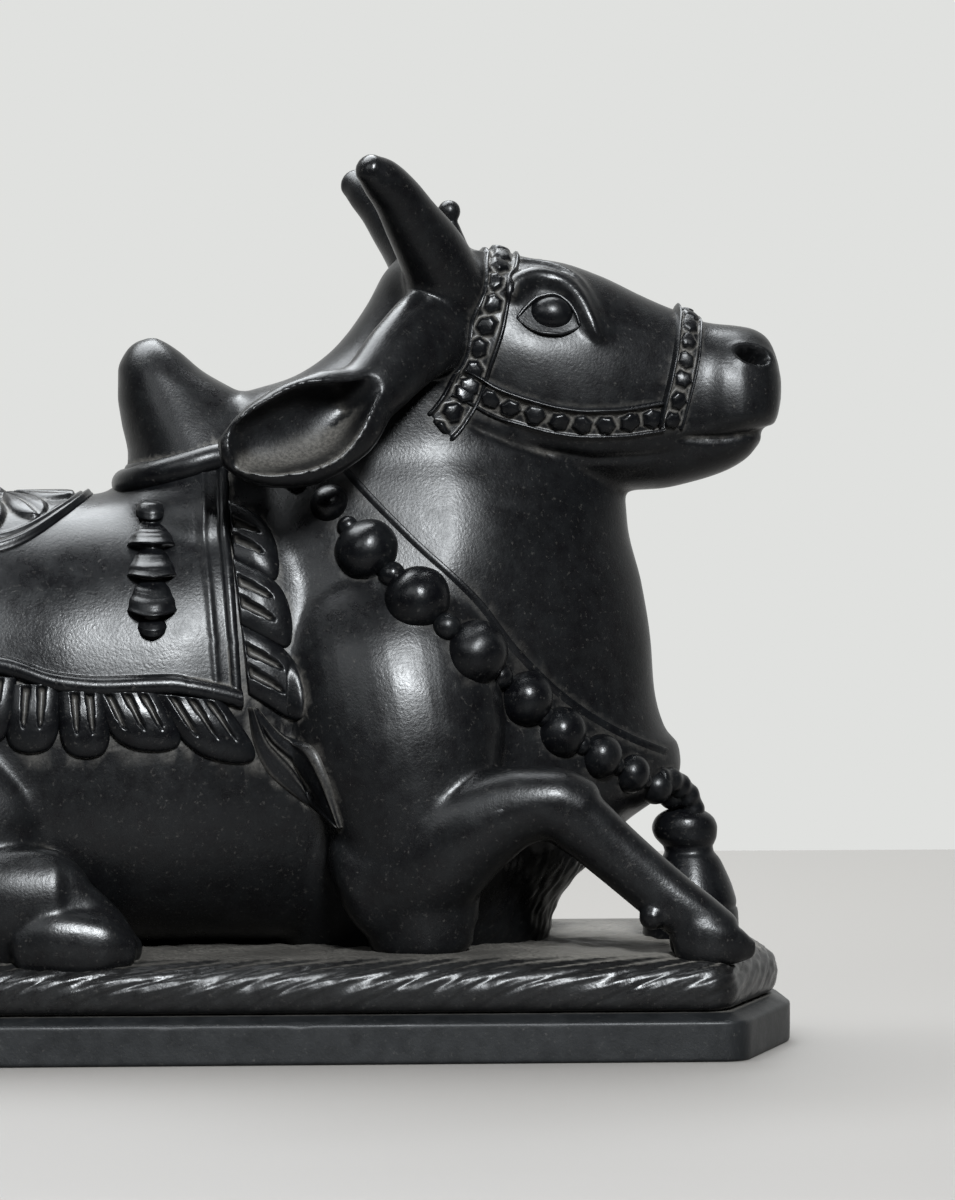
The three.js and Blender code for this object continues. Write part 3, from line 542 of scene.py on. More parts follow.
def piece_of(name: str, grids: Sequence[Array]) -> bpy.types.Object:
    """One piece from the grids of its closed forms, in figure units, with poles welded and faces turned outwards.

    Args:
        name: the piece's name.
        grids: the closed forms.

    Returns:
        The piece.
    """
    points = np.concatenate([grid.reshape(-1, 3) for grid in grids])
    starts = np.cumsum([0] + [grid.shape[0] * grid.shape[1] for grid in grids[:-1]])
    faces = np.concatenate([quads(*grid.shape[:2]) + start for grid, start in zip(grids, starts)])
    mesh = bpy.data.meshes.new(name)
    mesh.from_pydata(to_metres(points), [], faces.tolist())
    shell = bmesh.new()
    shell.from_mesh(mesh)
    bmesh.ops.remove_doubles(shell, verts=shell.verts, dist=1e-6)
    bmesh.ops.dissolve_degenerate(shell, edges=shell.edges, dist=1e-7)
    bmesh.ops.recalc_face_normals(shell, faces=shell.faces)
    shell.to_mesh(mesh)
    shell.free()
    shaded_smooth(mesh)
    return link(name, mesh)


def finished(piece: bpy.types.Object) -> bpy.types.Mesh:
    """A piece's mesh as its modifiers leave it."""
    graph = bpy.context.evaluated_depsgraph_get()
    return bpy.data.meshes.new_from_object(piece.evaluated_get(graph), depsgraph=graph)


def applied(piece: bpy.types.Object) -> None:
    """Makes what a piece's modifiers show its own mesh.

    Args:
        piece: the piece.
    """
    mesh, old = finished(piece), piece.data
    piece.modifiers.clear()
    piece.data = mesh
    mesh.name = piece.name
    bpy.data.meshes.remove(old)


def neighbour_mean(values: Array, edges: Array) -> Array:
    """The mean of each vertex's neighbours, (n, k).

    Args:
        values: a row for each vertex.
        edges: the two vertices of each edge.

    Returns:
        The means.
    """
    count = len(values)
    first, second = edges.T
    ones = np.bincount(first, minlength=count) + np.bincount(second, minlength=count)
    sums = [np.bincount(first, column[second], count) + np.bincount(second, column[first], count)
            for column in values.T]
    return np.stack(sums, -1) / np.maximum(ones, 1)[:, None]


def relaxed(points: Array, edges: Array, rounds: int) -> Array:
    """Points smoothed without shrinking: towards the mean of their neighbours, and a little more back again.

    Args:
        points: the vertices' places.
        edges: the two vertices of each edge.
        rounds: how often.

    Returns:
        The new places.
    """
    strength = 0.5
    for _ in range(rounds):
        points = points + strength * (neighbour_mean(points, edges) - points)
        points = points - 1.05 * strength * (neighbour_mean(points, edges) - points)
    return points


@dataclass
class Ground:
    """The carved surface that ornaments are laid on."""

    target: bpy.types.Object

    def moved(self, points: Array, **settings: object) -> Array:
        """Points wrapped onto the surface, all at once, with the settings of a Shrinkwrap modifier.

        Args:
            points: the places, (..., 3).
            settings: the modifier's settings by name.

        Returns:
            Their places on the surface.
        """
        shape = points.shape
        mesh = bpy.data.meshes.new("probe")
        mesh.vertices.add(points.size // 3)
        mesh.vertices.foreach_set("co", to_metres(points.reshape(-1, 3)).astype(np.float32).ravel())
        probe = link("probe", mesh)
        wrap = probe.modifiers.new("wrap", "SHRINKWRAP")
        wrap.target = self.target
        for name, value in settings.items():
            setattr(wrap, name, value)
        found = finished(probe)
        wrapped = to_figure(coordinates(found)).reshape(shape)
        bpy.data.objects.remove(probe)
        bpy.data.meshes.remove(mesh)
        bpy.data.meshes.remove(found)
        return wrapped

    def nearest(self, points: Array) -> Array:
        """The nearest points of the surface."""
        return self.moved(points, wrap_method="NEAREST_SURFACEPOINT")

    def sideways(self, x: Array, height: Array, side: float, outset: float | Array = FAR_OUT) -> Array:
        """Where lines from far out on one side first meet the surface, for places in the side view.

        Args:
            x: places along the body.
            height: their heights.
            side: the sign of the side.
            outset: how far out the lines start.

        Returns:
            The places, (..., 3). A line that meets nothing gives its start.
        """
        x, height, outset = np.broadcast_arrays(np.asarray(x, float), np.asarray(height, float), outset)
        start = np.stack([x, side * outset, height], -1)
        return self.moved(start, wrap_method="PROJECT", use_project_y=True,
                          use_positive_direction=side < 0, use_negative_direction=side > 0)

    def downwards(self, x: Array, side: Array, start: float = 150.0) -> Array:
        """Where lines from above first meet the surface, for places in the plan.

        Args:
            x: places along the body.
            side: places across it.
            start: the height that the lines start from.

        Returns:
            The places, (..., 3).
        """
        x, side = np.broadcast_arrays(np.asarray(x, float), np.asarray(side, float))
        above = np.stack([x, side, np.full(x.shape, start)], -1)
        return self.moved(above, wrap_method="PROJECT", use_project_z=True,
                          use_positive_direction=False, use_negative_direction=True)

    def clearance(self, points: Array) -> Array:
        """The distance from each point to the surface."""
        return np.linalg.norm(self.nearest(points) - points, axis=-1)


def grid_normals(grid: Array, outwards: Array) -> Array:
    """The normals of a grid, from its differences both ways, turned to the side that outwards points to.

    Args:
        grid: the points, (n, m, 3).
        outwards: a direction away from the stone at each.

    Returns:
        The normals, (n, m, 3).
    """
    found = unit(np.cross(np.gradient(grid, axis=0), np.gradient(grid, axis=1)))
    flip = np.sign((found * outwards).sum(-1, keepdims=True))
    return found * np.where(flip == 0, 1, flip)


def softened(grid: Array, rounds: int) -> Array:
    """A grid whose inner points are moved halfway to the mean of their four neighbours, round after round.

    Args:
        grid: the points, (n, m, 3).
        rounds: how often.

    Returns:
        The new points.
    """
    grid = grid.copy()
    for _ in range(rounds):
        mean = (grid[:-2, 1:-1] + grid[2:, 1:-1] + grid[1:-1, :-2] + grid[1:-1, 2:]) / 4
        grid[1:-1, 1:-1] += 0.5 * (mean - grid[1:-1, 1:-1])
    return grid


def raised(base: Array, outwards: Array, relief: Array, soft: int) -> Array:
    """A closed piece of relief over a base grid: the surface moved out by the relief, and its underside sunk.

    Args:
        base: points on the carved surface, (n, m, 3).
        outwards: a direction away from the stone at each point.
        relief: how far each point stands out, (n, m).
        soft: rounds of softening of the base.

    Returns:
        Closed sections, (n + 2, m + 5, 3).
    """
    base = softened(base, soft)
    normal = grid_normals(base, outwards)
    top = base + normal * relief[..., None]
    picks = np.linspace(base.shape[1] - 1, 0, 5).round().astype(int)
    under = base[:, picks] - normal[:, picks] * ROOT
    return closed_loft(np.concatenate([top, under], 1))


def cell_share(places: Array, count: int) -> tuple[Array, Array]:
    """Which of count equal cells a share from 0 to 1 is in, and how far from that cell's middle, from -1 to 1.

    Args:
        places: shares from 0 to 1.
        count: how many cells.

    Returns:
        The cells and the places in them.
    """
    scaled = np.clip(places, 0, 1 - 1e-9) * count
    cell = np.floor(scaled)
    return cell, 2 * (scaled - cell) - 1


@dataclass
class CarvedBody:
    """The bull itself: all its round forms fused into one stone surface, with its creases and fine forms."""

    voxel: float = 0.8
    triangles: int = 196000
    brow: Rows = ((110.6, 183, 2.4), (113, 187, 3.2), (119, 189, 3.6), (125, 187.8, 3.5), (130.2, 183, 3.3),
                  (133.4, 176.8, 2.8), (136, 171, 1.5))
    crest: Rows = ((113.5, 194.2, 1.1), (119, 193.6, 1.3), (125.6, 191.8, 1.5), (130.8, 188.2, 1.5),
                   (134.2, 183.2, 1.4), (137, 177.2, 1.1), (139.2, 172.5, 0.7))
    hollow_depth: float = 5.8
    hollow_wall: float = 2.4
    dewclaw: float = 3.7
    socket_at: tuple[float, float] = (121.5, 178.6)
    socket_half: tuple[float, float] = (9.5, 7.0)
    socket_depth: float = 1.5
    nostril_at: tuple[float, float] = (181.2, 167.3)
    nostril_half: tuple[float, float] = (4.7, 2.2)
    nostril_tilt: float = 0.26
    nostril_depth: float = 9.0
    nostril_rim: float = 0.3
    mouth: Rows = ((158, 143.2), (164, 143.6), (172, 143.4), (180, 144.4), (186, 145.6), (192, 147))
    mouth_depth: float = 1.1
    jaw: Rows = ((96, 151), (102, 147.6), (110, 144.4), (121, 141), (135, 139), (150, 139.6), (158, 141.4))
    jaw_depth: float = 0.9
    coarse_tooling: float = 0.22
    fine_tooling: float = 0.14
    waviness: float = 0.1
    fill_rounds: int = 44

    def ear(self, side: float) -> Array:
        """A leaf-shaped cup.

        Each section is an ellipse whose outer half is pushed in: with q the share of the half height, counted from a
        little above the middle, the outer face lies at depth · (1 - |q / span|^4) inside a rounded rim. The depth
        grows from the tip towards the head, where the hollow's span narrows to a point.

        Args:
            side: the sign of the side.

        Returns:
            The closed sections, (n, m, 3).
        """
        table = resampled(EAR, FORM_COLUMNS)
        path = table[:, :3] * (1, side, 1)
        _, level, up = frame_along(path, np.array([0.0, 1.0, 0.0]))
        outward = level * side
        up = up * np.sign(up[:, 2:3])
        angle = turns(FORM_COLUMNS)
        sine, cosine = np.sin(angle), np.cos(angle)
        across, upright = table[:, 3:4], table[:, 4:5]
        x = table[:, 0:1]
        fade = smoothstep(29.0, 34, x) * (1 - smoothstep(64, 70, x))
        span = 0.78 - 0.5 * smoothstep(53, 70, x)
        reach = np.clip(1 - np.abs((cosine - 0.08) / span) ** 4, 0, 1)
        deep = self.hollow_depth * (0.35 + 0.65 * smoothstep(32, 58, x)) * (1 + 0.35 * cosine)
        floor = -across + self.hollow_wall
        rim = across * np.abs(sine) ** 0.55
        face = np.where(sine > 0, np.maximum(rim - (across + deep) * reach, floor), across * sine)
        depth = across * sine * (1 - fade) + face * fade
        sections = (path[:, None] + outward[:, None] * depth[..., None]
                    + up[:, None] * (upright * cosine)[..., None])
        return closed_loft(sections)

    @staticmethod
    def ear_dust(points: Array, normals: Array) -> Array:
        """The dust in the ears: on the hollow's floor, which lies below the ear's middle and faces up.

        Args:
            points: the vertices, (n, 3).
            normals: their normals.

        Returns:
            The dust at each.
        """
        x, side, height = points.T
        middle = stations(sorted(EAR), np.clip(x, 30, 70))[:, 2]
        inside = (np.abs(side) > 47) * (x > 31) * smoothstep(70, 62, x) * smoothstep(middle + 2, middle - 4, height)
        facing = np.sign(side) * normals[:, 1]
        most = 0.4
        return most * inside * smoothstep(0.05, 0.5, normals[:, 2]) * smoothstep(0.25, 0.6, facing) * (height > 120)

    def ridge(self, rows: Rows, side: float, sunk: float) -> Array:
        """A ridge on the head along a line of x, height and radius.

        Args:
            rows: places along it in the side view, with its radius.
            side: the sign of the side.
            sunk: how far its middle lies inside the head.

        Returns:
            The closed sections, (n, m, 3).
        """
        line = along(np.array(rows, float), 60)
        out = head_side(line[:, 0], line[:, 1]) - sunk
        return tube(np.stack([line[:, 0], side * out, line[:, 1]], -1), line[:, 2])

    def hoof(self, side: float) -> list[Array]:
        """The forward foot: two pointed toes side by side, under the pastern, the outer one standing out.

        Args:
            side: the sign of the side.

        Returns:
            The two toes.
        """
        outer = ((155.8, 61.4, 4.4, 4.4, 7.2), (159.6, 62.2, 4.8, 5.2, 8.2), (164, 62.4, 3.8, 5.2, 7.4),
                 (170, 61.8, 2.4, 4.2, 5.4), (174.8, 60.4, 1.2, 2, 2.8))
        inner = ((156, 53.9, 5.5, 4.2, 6.6), (161, 53.9, 4.8, 4.9, 6.8), (167, 53.9, 3.6, 4.6, 5.8),
                 (172, 53.9, 2.2, 3.6, 4.4), (175.4, 53.9, 1.4, 1.8, 2.4))
        return [limb(rows, side, 30, 28, 2.4) for rows in (outer, inner)]

    def hind_foot(self, side: float) -> list[Array]:
        """The hind foot that lies forward: its sloping front and a rounded toe on the outer side.

        Args:
            side: the sign of the side.

        Returns:
            The front and the toe.
        """
        front = ((-34, 58, 13, 7.6, 17), (-24, 58, 14, 8.2, 16.6), (-14, 58, 9.5, 8, 12.6), (-4, 58, 4.5, 7.4, 9),
                 (2.2, 58, 1.2, 6, 5))
        toe = ((-27, 64, 3, 5, 8), (-18, 65.3, 4.6, 5.6, 9.4), (-6, 65.4, 3.6, 5.4, 8.6), (1.5, 64, 1.6, 4, 4.8))
        return [limb(front, side, 40, 36, 2.6), limb(toe, side, 36, 30)]

    def forms(self) -> list[Array]:
        """Every round form of the bull, each a closed grid, overlapping where they grow together.

        Returns:
            The grids.
        """
        found = [
            upright_form(TRUNK, TRUNK_POWER), level_form(NECK, NECK_BACK_POWER, NECK_FRONT_POWER),
            level_form(HUMP, 2, 2), upright_form(HEAD, HEAD_POWER), upright_form(JAW, HEAD_POWER), limb(TAIL, 1),
            limb(KNOB_STEM, 1), ball((95, 0, 208.6), (3.3, 3.3, 3.3)),
        ]
        for side in SIDES:
            found += [limb(NEAR_UPPER_ARM, side), limb(UPPER_THIGH, side), limb(SHANK, side), limb(CANNON, side),
                      limb(HORN, side), self.ear(side), self.ridge(self.brow, side, 0.2),
                      self.ridge(self.crest, side, 0.1), *self.hind_foot(side)]
        near, far = SIDES
        found += [limb(NEAR_FOREARM, near), limb(NEAR_SHIN, near, power=2.3), *self.hoof(near),
                  ball((147.2, near * 62.8, 10.6), (self.dewclaw,) * 3), limb(FAR_FOREARM, far), limb(FAR_SHIN, far)]
        return found

    def creased(self, points: Array, normals: Array) -> Array:
        """The fine forms that are cut or pressed into the fused surface, as moves along its normals.

        Args:
            points: the vertices, (n, 3).
            normals: their normals.

        Returns:
            The new places.
        """
        x, side, height = points.T
        out = np.zeros(len(points))
        sine, cosine = math.sin(self.nostril_tilt), math.cos(self.nostril_tilt)
        for eye in SIDES:
            here = np.sign(side) == eye
            socket = (bump(x, self.socket_at[0], self.socket_half[0])
                      * bump(height, self.socket_at[1], self.socket_half[1]))
            out -= self.socket_depth * here * socket
            ahead, above = x - self.nostril_at[0], height - self.nostril_at[1]
            lengthwise = ahead * cosine - above * sine
            upwards = ahead * sine + above * cosine
            slot = (lengthwise / self.nostril_half[0]) ** 2 + (upwards / self.nostril_half[1]) ** 2
            lateral = here * (np.abs(side) > 9)
            out -= self.nostril_depth * lateral * (1 - smoothstep(0.55, 1.25, slot))
            out += self.nostril_rim * lateral * bump(np.sqrt(slot), 1.4, 0.25)
        mouth = np.interp(x, *zip(*self.mouth))
        out -= self.mouth_depth * smoothstep(157, 163, x) * bump(height, mouth, 1.0) * (height < 152)
        rough = (smoothstep(94, 100, x) * (1 - smoothstep(30, 40, height)) * (np.abs(side) < 46)
                 * (1 - smoothstep(134, 150, x)))
        out += self.coarse_tooling * rough * ripple(points, 9, 4) + self.fine_tooling * rough * ripple(points, 4, 5)
        out += self.waviness * ripple(points, 26, 7)
        crease = bump(height, np.interp(x, *zip(*self.jaw)) - 1.6, 1.3)
        out -= self.jaw_depth * smoothstep(94, 102, x) * (1 - smoothstep(150, 160, x)) * crease * (height > 128)
        return points + normals * out[:, None]

    def build(self) -> bpy.types.Object:
        """Fuses the forms, fills the creases where they meet, cuts the fine forms and thins the faces.

        Returns:
            The body.
        """
        piece = piece_of("carved_body", self.forms())
        remesh = piece.modifiers.new("fuse", "REMESH")
        remesh.mode = "VOXEL"
        remesh.voxel_size = self.voxel / METRE
        applied(piece)
        mesh = piece.data
        points, edges = to_figure(coordinates(mesh)), edges_of(mesh)
        normals = normals_of(mesh)
        points = relaxed(points, edges, 5)
        soft = 0.3 + 0.7 * smoothstep(112, 128, points[:, 2]) * (1 - smoothstep(100, 112, points[:, 0]))
        behind_arm = smoothstep(26, 40, points[:, 0]) * (1 - smoothstep(62, 78, points[:, 0]))
        soft = np.maximum(soft, behind_arm * smoothstep(44, 60, points[:, 2]))
        for _ in range(self.fill_rounds):
            pull = neighbour_mean(points, edges) - points
            lift = np.clip((pull * normals).sum(-1), 0, None) * soft
            points = points + normals * lift[:, None]
        points = relaxed(points, edges, 4)
        reshaped(mesh, points)
        points = self.creased(points, normals_of(mesh))
        points = relaxed(points, edges, 1)
        reshaped(mesh, points)
        thin = piece.modifiers.new("thin", "DECIMATE")
        thin.ratio = min(1.0, self.triangles / (2 * len(mesh.polygons)))
        applied(piece)
        shaded_smooth(piece.data)
        return piece


@dataclass(frozen=True)
class Strap:
    """One strap of the halter.

    The bold edge is a bevel on one side, 1 or -1, or on none, 0. The fade is the share of the length over which
    each end sinks into the stone.
    """

    width: float
    pitch: float
    bold: float = 0.0
    fade: float = 0.0


@dataclass
class Halter:
    """The jewelled straps of the head: two rails with a row of cut gems between them."""

    ground: Ground
    brow_strap: Strap = Strap(11.2, 6.7, fade=0.075)
    nose_band: Strap = Strap(8.8, 6.0, -1.0, 0.07)
    cheek_strap: Strap = Strap(9.4, 6.6, 1.0)
    brow_crown: float = 109.4
    nose_crown: float = 163.6
    brow: Rows = ((82.6, 138.6), (86, 142.6), (92.5, 148.6), (97, 155.5), (100.2, 164.5), (103.6, 174.4),
                  (105.8, 184.3), (107.8, 191))
    nose: Rows = ((155.2, 140.4), (156.4, 146), (158.2, 153), (160.2, 160.6), (162, 168.6), (163, 174.6))
    cheek: Rows = ((95.4, 159.4), (101.1, 156.6), (106.9, 153.6), (116.6, 150.4), (123.7, 148.6), (132.2, 147.6),
                   (141.2, 147.8), (154.5, 149.6))
    rail: float = 1.0
    gem: float = 1.9
    bevel: float = 2.1
    buried: float = 5.0
    head_middle: float = 156.0

    def relief(self, share: Array, across: Array, count: int, seed: int, strap: Strap) -> Array:
        """Rails at both edges, and rough-cut stones set close between them.

        A stone's outline is the largest of six slanted distances from its middle, each over a reach of its own, and
        its faces rise from there to a tilted table. A bold edge is a wide bevel in place of the rail.

        Args:
            share: how far along the strap, from 0 to 1.
            across: the place across it, from -1 to 1.
            count: the number of stones.
            seed: the seed of their shapes.
            strap: the strap's sizes.

        Returns:
            The height over the head.
        """
        pitch, width = strap.pitch, strap.width
        cell, run = cell_share(share, count)
        cell = cell.astype(int)
        rng = np.random.default_rng(seed)
        slip, lift, turn, lean, tip = rng.uniform(-1, 1, (5, count))[:, cell]
        reach = rng.uniform(0.80, 1.0, (6, count))[:, cell] * 0.5 * min(pitch, 0.66 * width)
        ahead, aside = run * pitch / 2 + 0.3 * slip, across * width / 2 + 0.35 * lift
        angle = (np.arange(6) * np.pi / 3)[:, None, None] + 0.6 * turn
        shape = ((ahead * np.cos(angle) + aside * np.sin(angle)) / reach).max(0)
        table = 0.92 - 0.3 * np.clip(shape, 0, 1) ** 2 + 0.09 * (lean * ahead + tip * aside)
        stones = self.gem * np.minimum(np.clip((1.06 - shape) * 2.3, 0, 1), table)
        edge = (np.abs(across) - 0.85) / 0.11
        rails = self.rail * np.clip(1 - edge**2, 0, 1) ** 0.5
        bevel = self.bevel * bump(across * strap.bold, 0.8, 0.17) * abs(strap.bold)
        return np.where(np.abs(across) > 0.975, -0.4, 0.15 + np.maximum(np.maximum(stones, rails), bevel))

    def band(self, path: Array, hint: Array, strap: Strap, seed: int) -> Array:
        """A strap laid on the head along a path, square to it, with a row of stones.

        Args:
            path: the strap's middle line.
            hint: the direction across it.
            strap: its sizes.
            seed: the seed of its stones.

        Returns:
            The closed sections, (n, m, 3).
        """
        length = np.linalg.norm(np.diff(path, axis=0), axis=1).sum()
        count = int(length / 0.4)
        line = along(path, count)
        _, sideways, _ = frame_along(line, hint)
        across = np.linspace(-1, 1, 35)
        start = line[:, None] + sideways[:, None] * (across * strap.width / 2)[None, :, None]
        base = self.ground.nearest(start)
        outwards = (start - (0, 0, self.head_middle)) * (0, 1, 1)
        share, across = np.broadcast_arrays(np.linspace(0, 1, count)[:, None], across[None, :])
        relief = self.relief(share, across, max(1, round(length / strap.pitch)), seed, strap)
        if strap.fade:
            ends = np.minimum(share, 1 - share)
            relief = relief - self.buried * (1 - smoothstep(0.7 * strap.fade, strap.fade, ends))
        return raised(base, outwards, relief, soft=10)

    def over(self, rows: Rows, crown: float) -> Array:
        """A path up the near side through places in the side view, over the head's top, and down the far side.

        Args:
            rows: places of x and height, from below.
            crown: x where it crosses the top.

        Returns:
            The path's points.
        """
        table = np.array(rows, float)
        near = self.ground.sideways(table[:, 0], table[:, 1], Side.NEAR.value)
        top = self.ground.downwards(np.full(3, crown), np.array([-8.0, 0.0, 8.0]), 230.0)
        return np.vstack([near, top, (near * (1, -1, 1))[::-1]])

    def build(self) -> bpy.types.Object:
        """The brow strap, the nose band and the two cheek straps.

        Returns:
            The piece.
        """
        lengthwise, upwards = np.array([1.0, 0.0, 0.0]), np.array([0.0, 0.0, 1.0])
        grids = [self.band(self.over(self.brow, self.brow_crown), lengthwise, self.brow_strap, 1),
                 self.band(self.over(self.nose, self.nose_crown), lengthwise, self.nose_band, 2)]
        line = along(np.array(self.cheek, float), 60)
        for seed, side in enumerate(SIDES, 3):
            path = self.ground.sideways(line[:, 0], line[:, 1], side)
            grids.append(self.band(path, upwards, self.cheek_strap, seed))
        return piece_of("halter", grids)


@dataclass
class Eyes:
    """The two eyes: a smooth ball under lids that are cut as thin raised lines."""

    ground: Ground
    x: float = 122.5
    height: float = 178.8
    half: tuple[float, float, float] = (6.9, 5.6, 5.7)
    sunk: float = 2.4
    upper_lid: float = 0.75
    lower_lid: float = 0.5
    lid_lift: float = 0.1
    lid_bulge: float = 1.44
    lid_reach: float = 6.5
    upper: Rows = ((112.6, 177.6), (115.4, 180.8), (119, 183.6), (123.1, 184.4), (127, 182.4), (129.6, 178.6),
                   (130.6, 175.4))
    lower: Rows = ((112.6, 177.6), (116, 174.8), (120, 173.3), (124.6, 173), (128.4, 174), (130.6, 175.4))

    def build(self) -> bpy.types.Object:
        """Both eyes with their lids.

        Returns:
            The piece.
        """
        grids = []
        for side in SIDES:
            seat = self.ground.sideways(np.array([self.x]), np.array([self.height]), side)[0]
            grids.append(ball(seat - (0, side * self.sunk, 0.2), self.half, 56, 36))
            for rows, radius in ((self.upper, self.upper_lid), (self.lower, self.lower_lid)):
                line = along(np.array(rows, float), 50)
                path = self.ground.sideways(line[:, 0], line[:, 1], side)
                path[:, 1] += side * (self.lid_lift + self.lid_bulge * bump(path[:, 0], seat[0], self.lid_reach))
                ends = 0.35 + 0.65 * np.sin(np.linspace(0, np.pi, 50)) ** 0.5
                grids.append(tube(path, radius * ends, 14))
        return piece_of("eyes", grids)


@dataclass
class SaddleCloth:
    """The cloth over the back with its rolled hem and the two ridges of its border."""

    ground: Ground
    rear: float = -100.0
    front_top: float = 28.0
    front_corner: float = 34.6
    hem: Rows = ((-100, 76), (-66, 79.5), (-33, 77.2), (-17, 72.4), (-5.5, 71.3), (14, 71.8), (24, 70.2), (34.6, 67.6))
    thickness: float = 1.0
    roll: float = 2.9
    end_roll: float = 1.9
    hollow_run: float = 7.0
    line_inset: float = 7.6
    line_width: float = 1.1
    line_height: float = 0.4
    edge_sink: float = 0.6
    root: float = 1.4

    def hem_height(self, x: Array) -> Array:
        """The height of the hem at a place along the body."""
        return stations(self.hem, x)[:, 1]

    @staticmethod
    def graded(count_edge: int, count_middle: int, edge: float) -> Array:
        """Shares from 0 to 1 with that many fine steps inside each edge and coarser ones between."""
        return np.concatenate([np.linspace(0, edge, count_edge, endpoint=False),
                               np.linspace(edge, 1 - edge, count_middle, endpoint=False),
                               np.linspace(1 - edge, 1, count_edge)])

    def surface(self, share: Array, across: Array) -> Array:
        """Points just over the back: share runs from the rear to the front, across from hem to hem.

        Args:
            share: the way from rear to front, from 0 to 1.
            across: the way from hem to hem, from -1 to 1.

        Returns:
            The points.
        """
        front = self.front_top + (self.front_corner - self.front_top) * np.abs(across)
        x = self.rear + (front - self.rear) * share
        flat = x.ravel()
        rows = stations(TRUNK, flat)
        top, widest, half = (rows[:, k].reshape(x.shape) for k in (1, 2, 4))
        hem = self.hem_height(flat).reshape(x.shape)
        turn = np.arccos(np.clip((hem - widest) / (top - widest), 0, 1) ** (TRUNK_POWER / 2))
        side, rise = superellipse(across * turn, TRUNK_POWER)
        return np.stack([x, side * (half + 2), widest + rise * (top + 2 - widest)], -1)

    def slope(self, inside: Array, radius: float) -> Array:
        """The hollow slope from the rolled edge's crest down to the cloth: radius · (1 - t)² over its run."""
        return radius * np.clip(1 - (inside - radius) / self.hollow_run, 0, 1) ** 2 * (inside > radius)

    def rolled(self, inside: Array, radius: float) -> Array:
        """The half circle of a rolled edge: sqrt(r² - (d - r)²) for a distance d inside the edge."""
        return np.sqrt(np.clip(radius**2 - (inside - radius) ** 2, 0, None))

    def build(self) -> bpy.types.Object:
        """The cloth as one closed piece on the body.

        Returns:
            The piece.
        """
        share = self.graded(44, 90, 0.11)[:, None]
        across = (2 * self.graded(44, 120, 0.075) - 1)[None, :]
        start = self.surface(*np.broadcast_arrays(share, across))
        base = softened(self.ground.nearest(start), 10)
        run = np.linalg.norm(np.diff(base, axis=0), axis=-1)
        from_rear = np.concatenate([np.zeros((1, base.shape[1])), np.cumsum(run, 0)])
        to_front = from_rear[-1] - from_rear
        cross = np.linalg.norm(np.diff(base, axis=1), axis=-1)
        from_near = np.concatenate([np.zeros((base.shape[0], 1)), np.cumsum(cross, 1)], 1)
        to_hem = np.minimum(from_near, from_near[:, -1:] - from_near)
        ends = np.minimum(from_rear, to_front)
        height = np.full(base.shape[:2], self.thickness)
        height += self.line_height * bump(ends, self.line_inset, self.line_width)
        inner = np.maximum(self.slope(to_hem, self.roll), 0.6 * self.slope(ends, self.end_roll))
        edge = np.maximum(self.rolled(to_hem, self.roll), self.rolled(ends, self.end_roll))
        height = np.maximum(np.maximum(height, inner), edge)
        height[:, 0] = height[:, -1] = height[0] = height[-1] = -self.edge_sink
        outwards = base - (0, 0, 50) - base * (1, 0, 0)
        normal = grid_normals(base, outwards)
        top = base + normal * height[..., None]
        picks = np.linspace(base.shape[1] - 1, 0, 30).round().astype(int)
        under = (base - normal * self.root)[:, picks]
        return piece_of("saddle_cloth", [closed_loft(np.concatenate([top, under], 1))])


# Where a lappet's slots lie across it, from -1 to 1, by their number.
SLOT_PLACES = {2: (-0.3, 0.3), 3: (-0.5, 0.0, 0.48)}


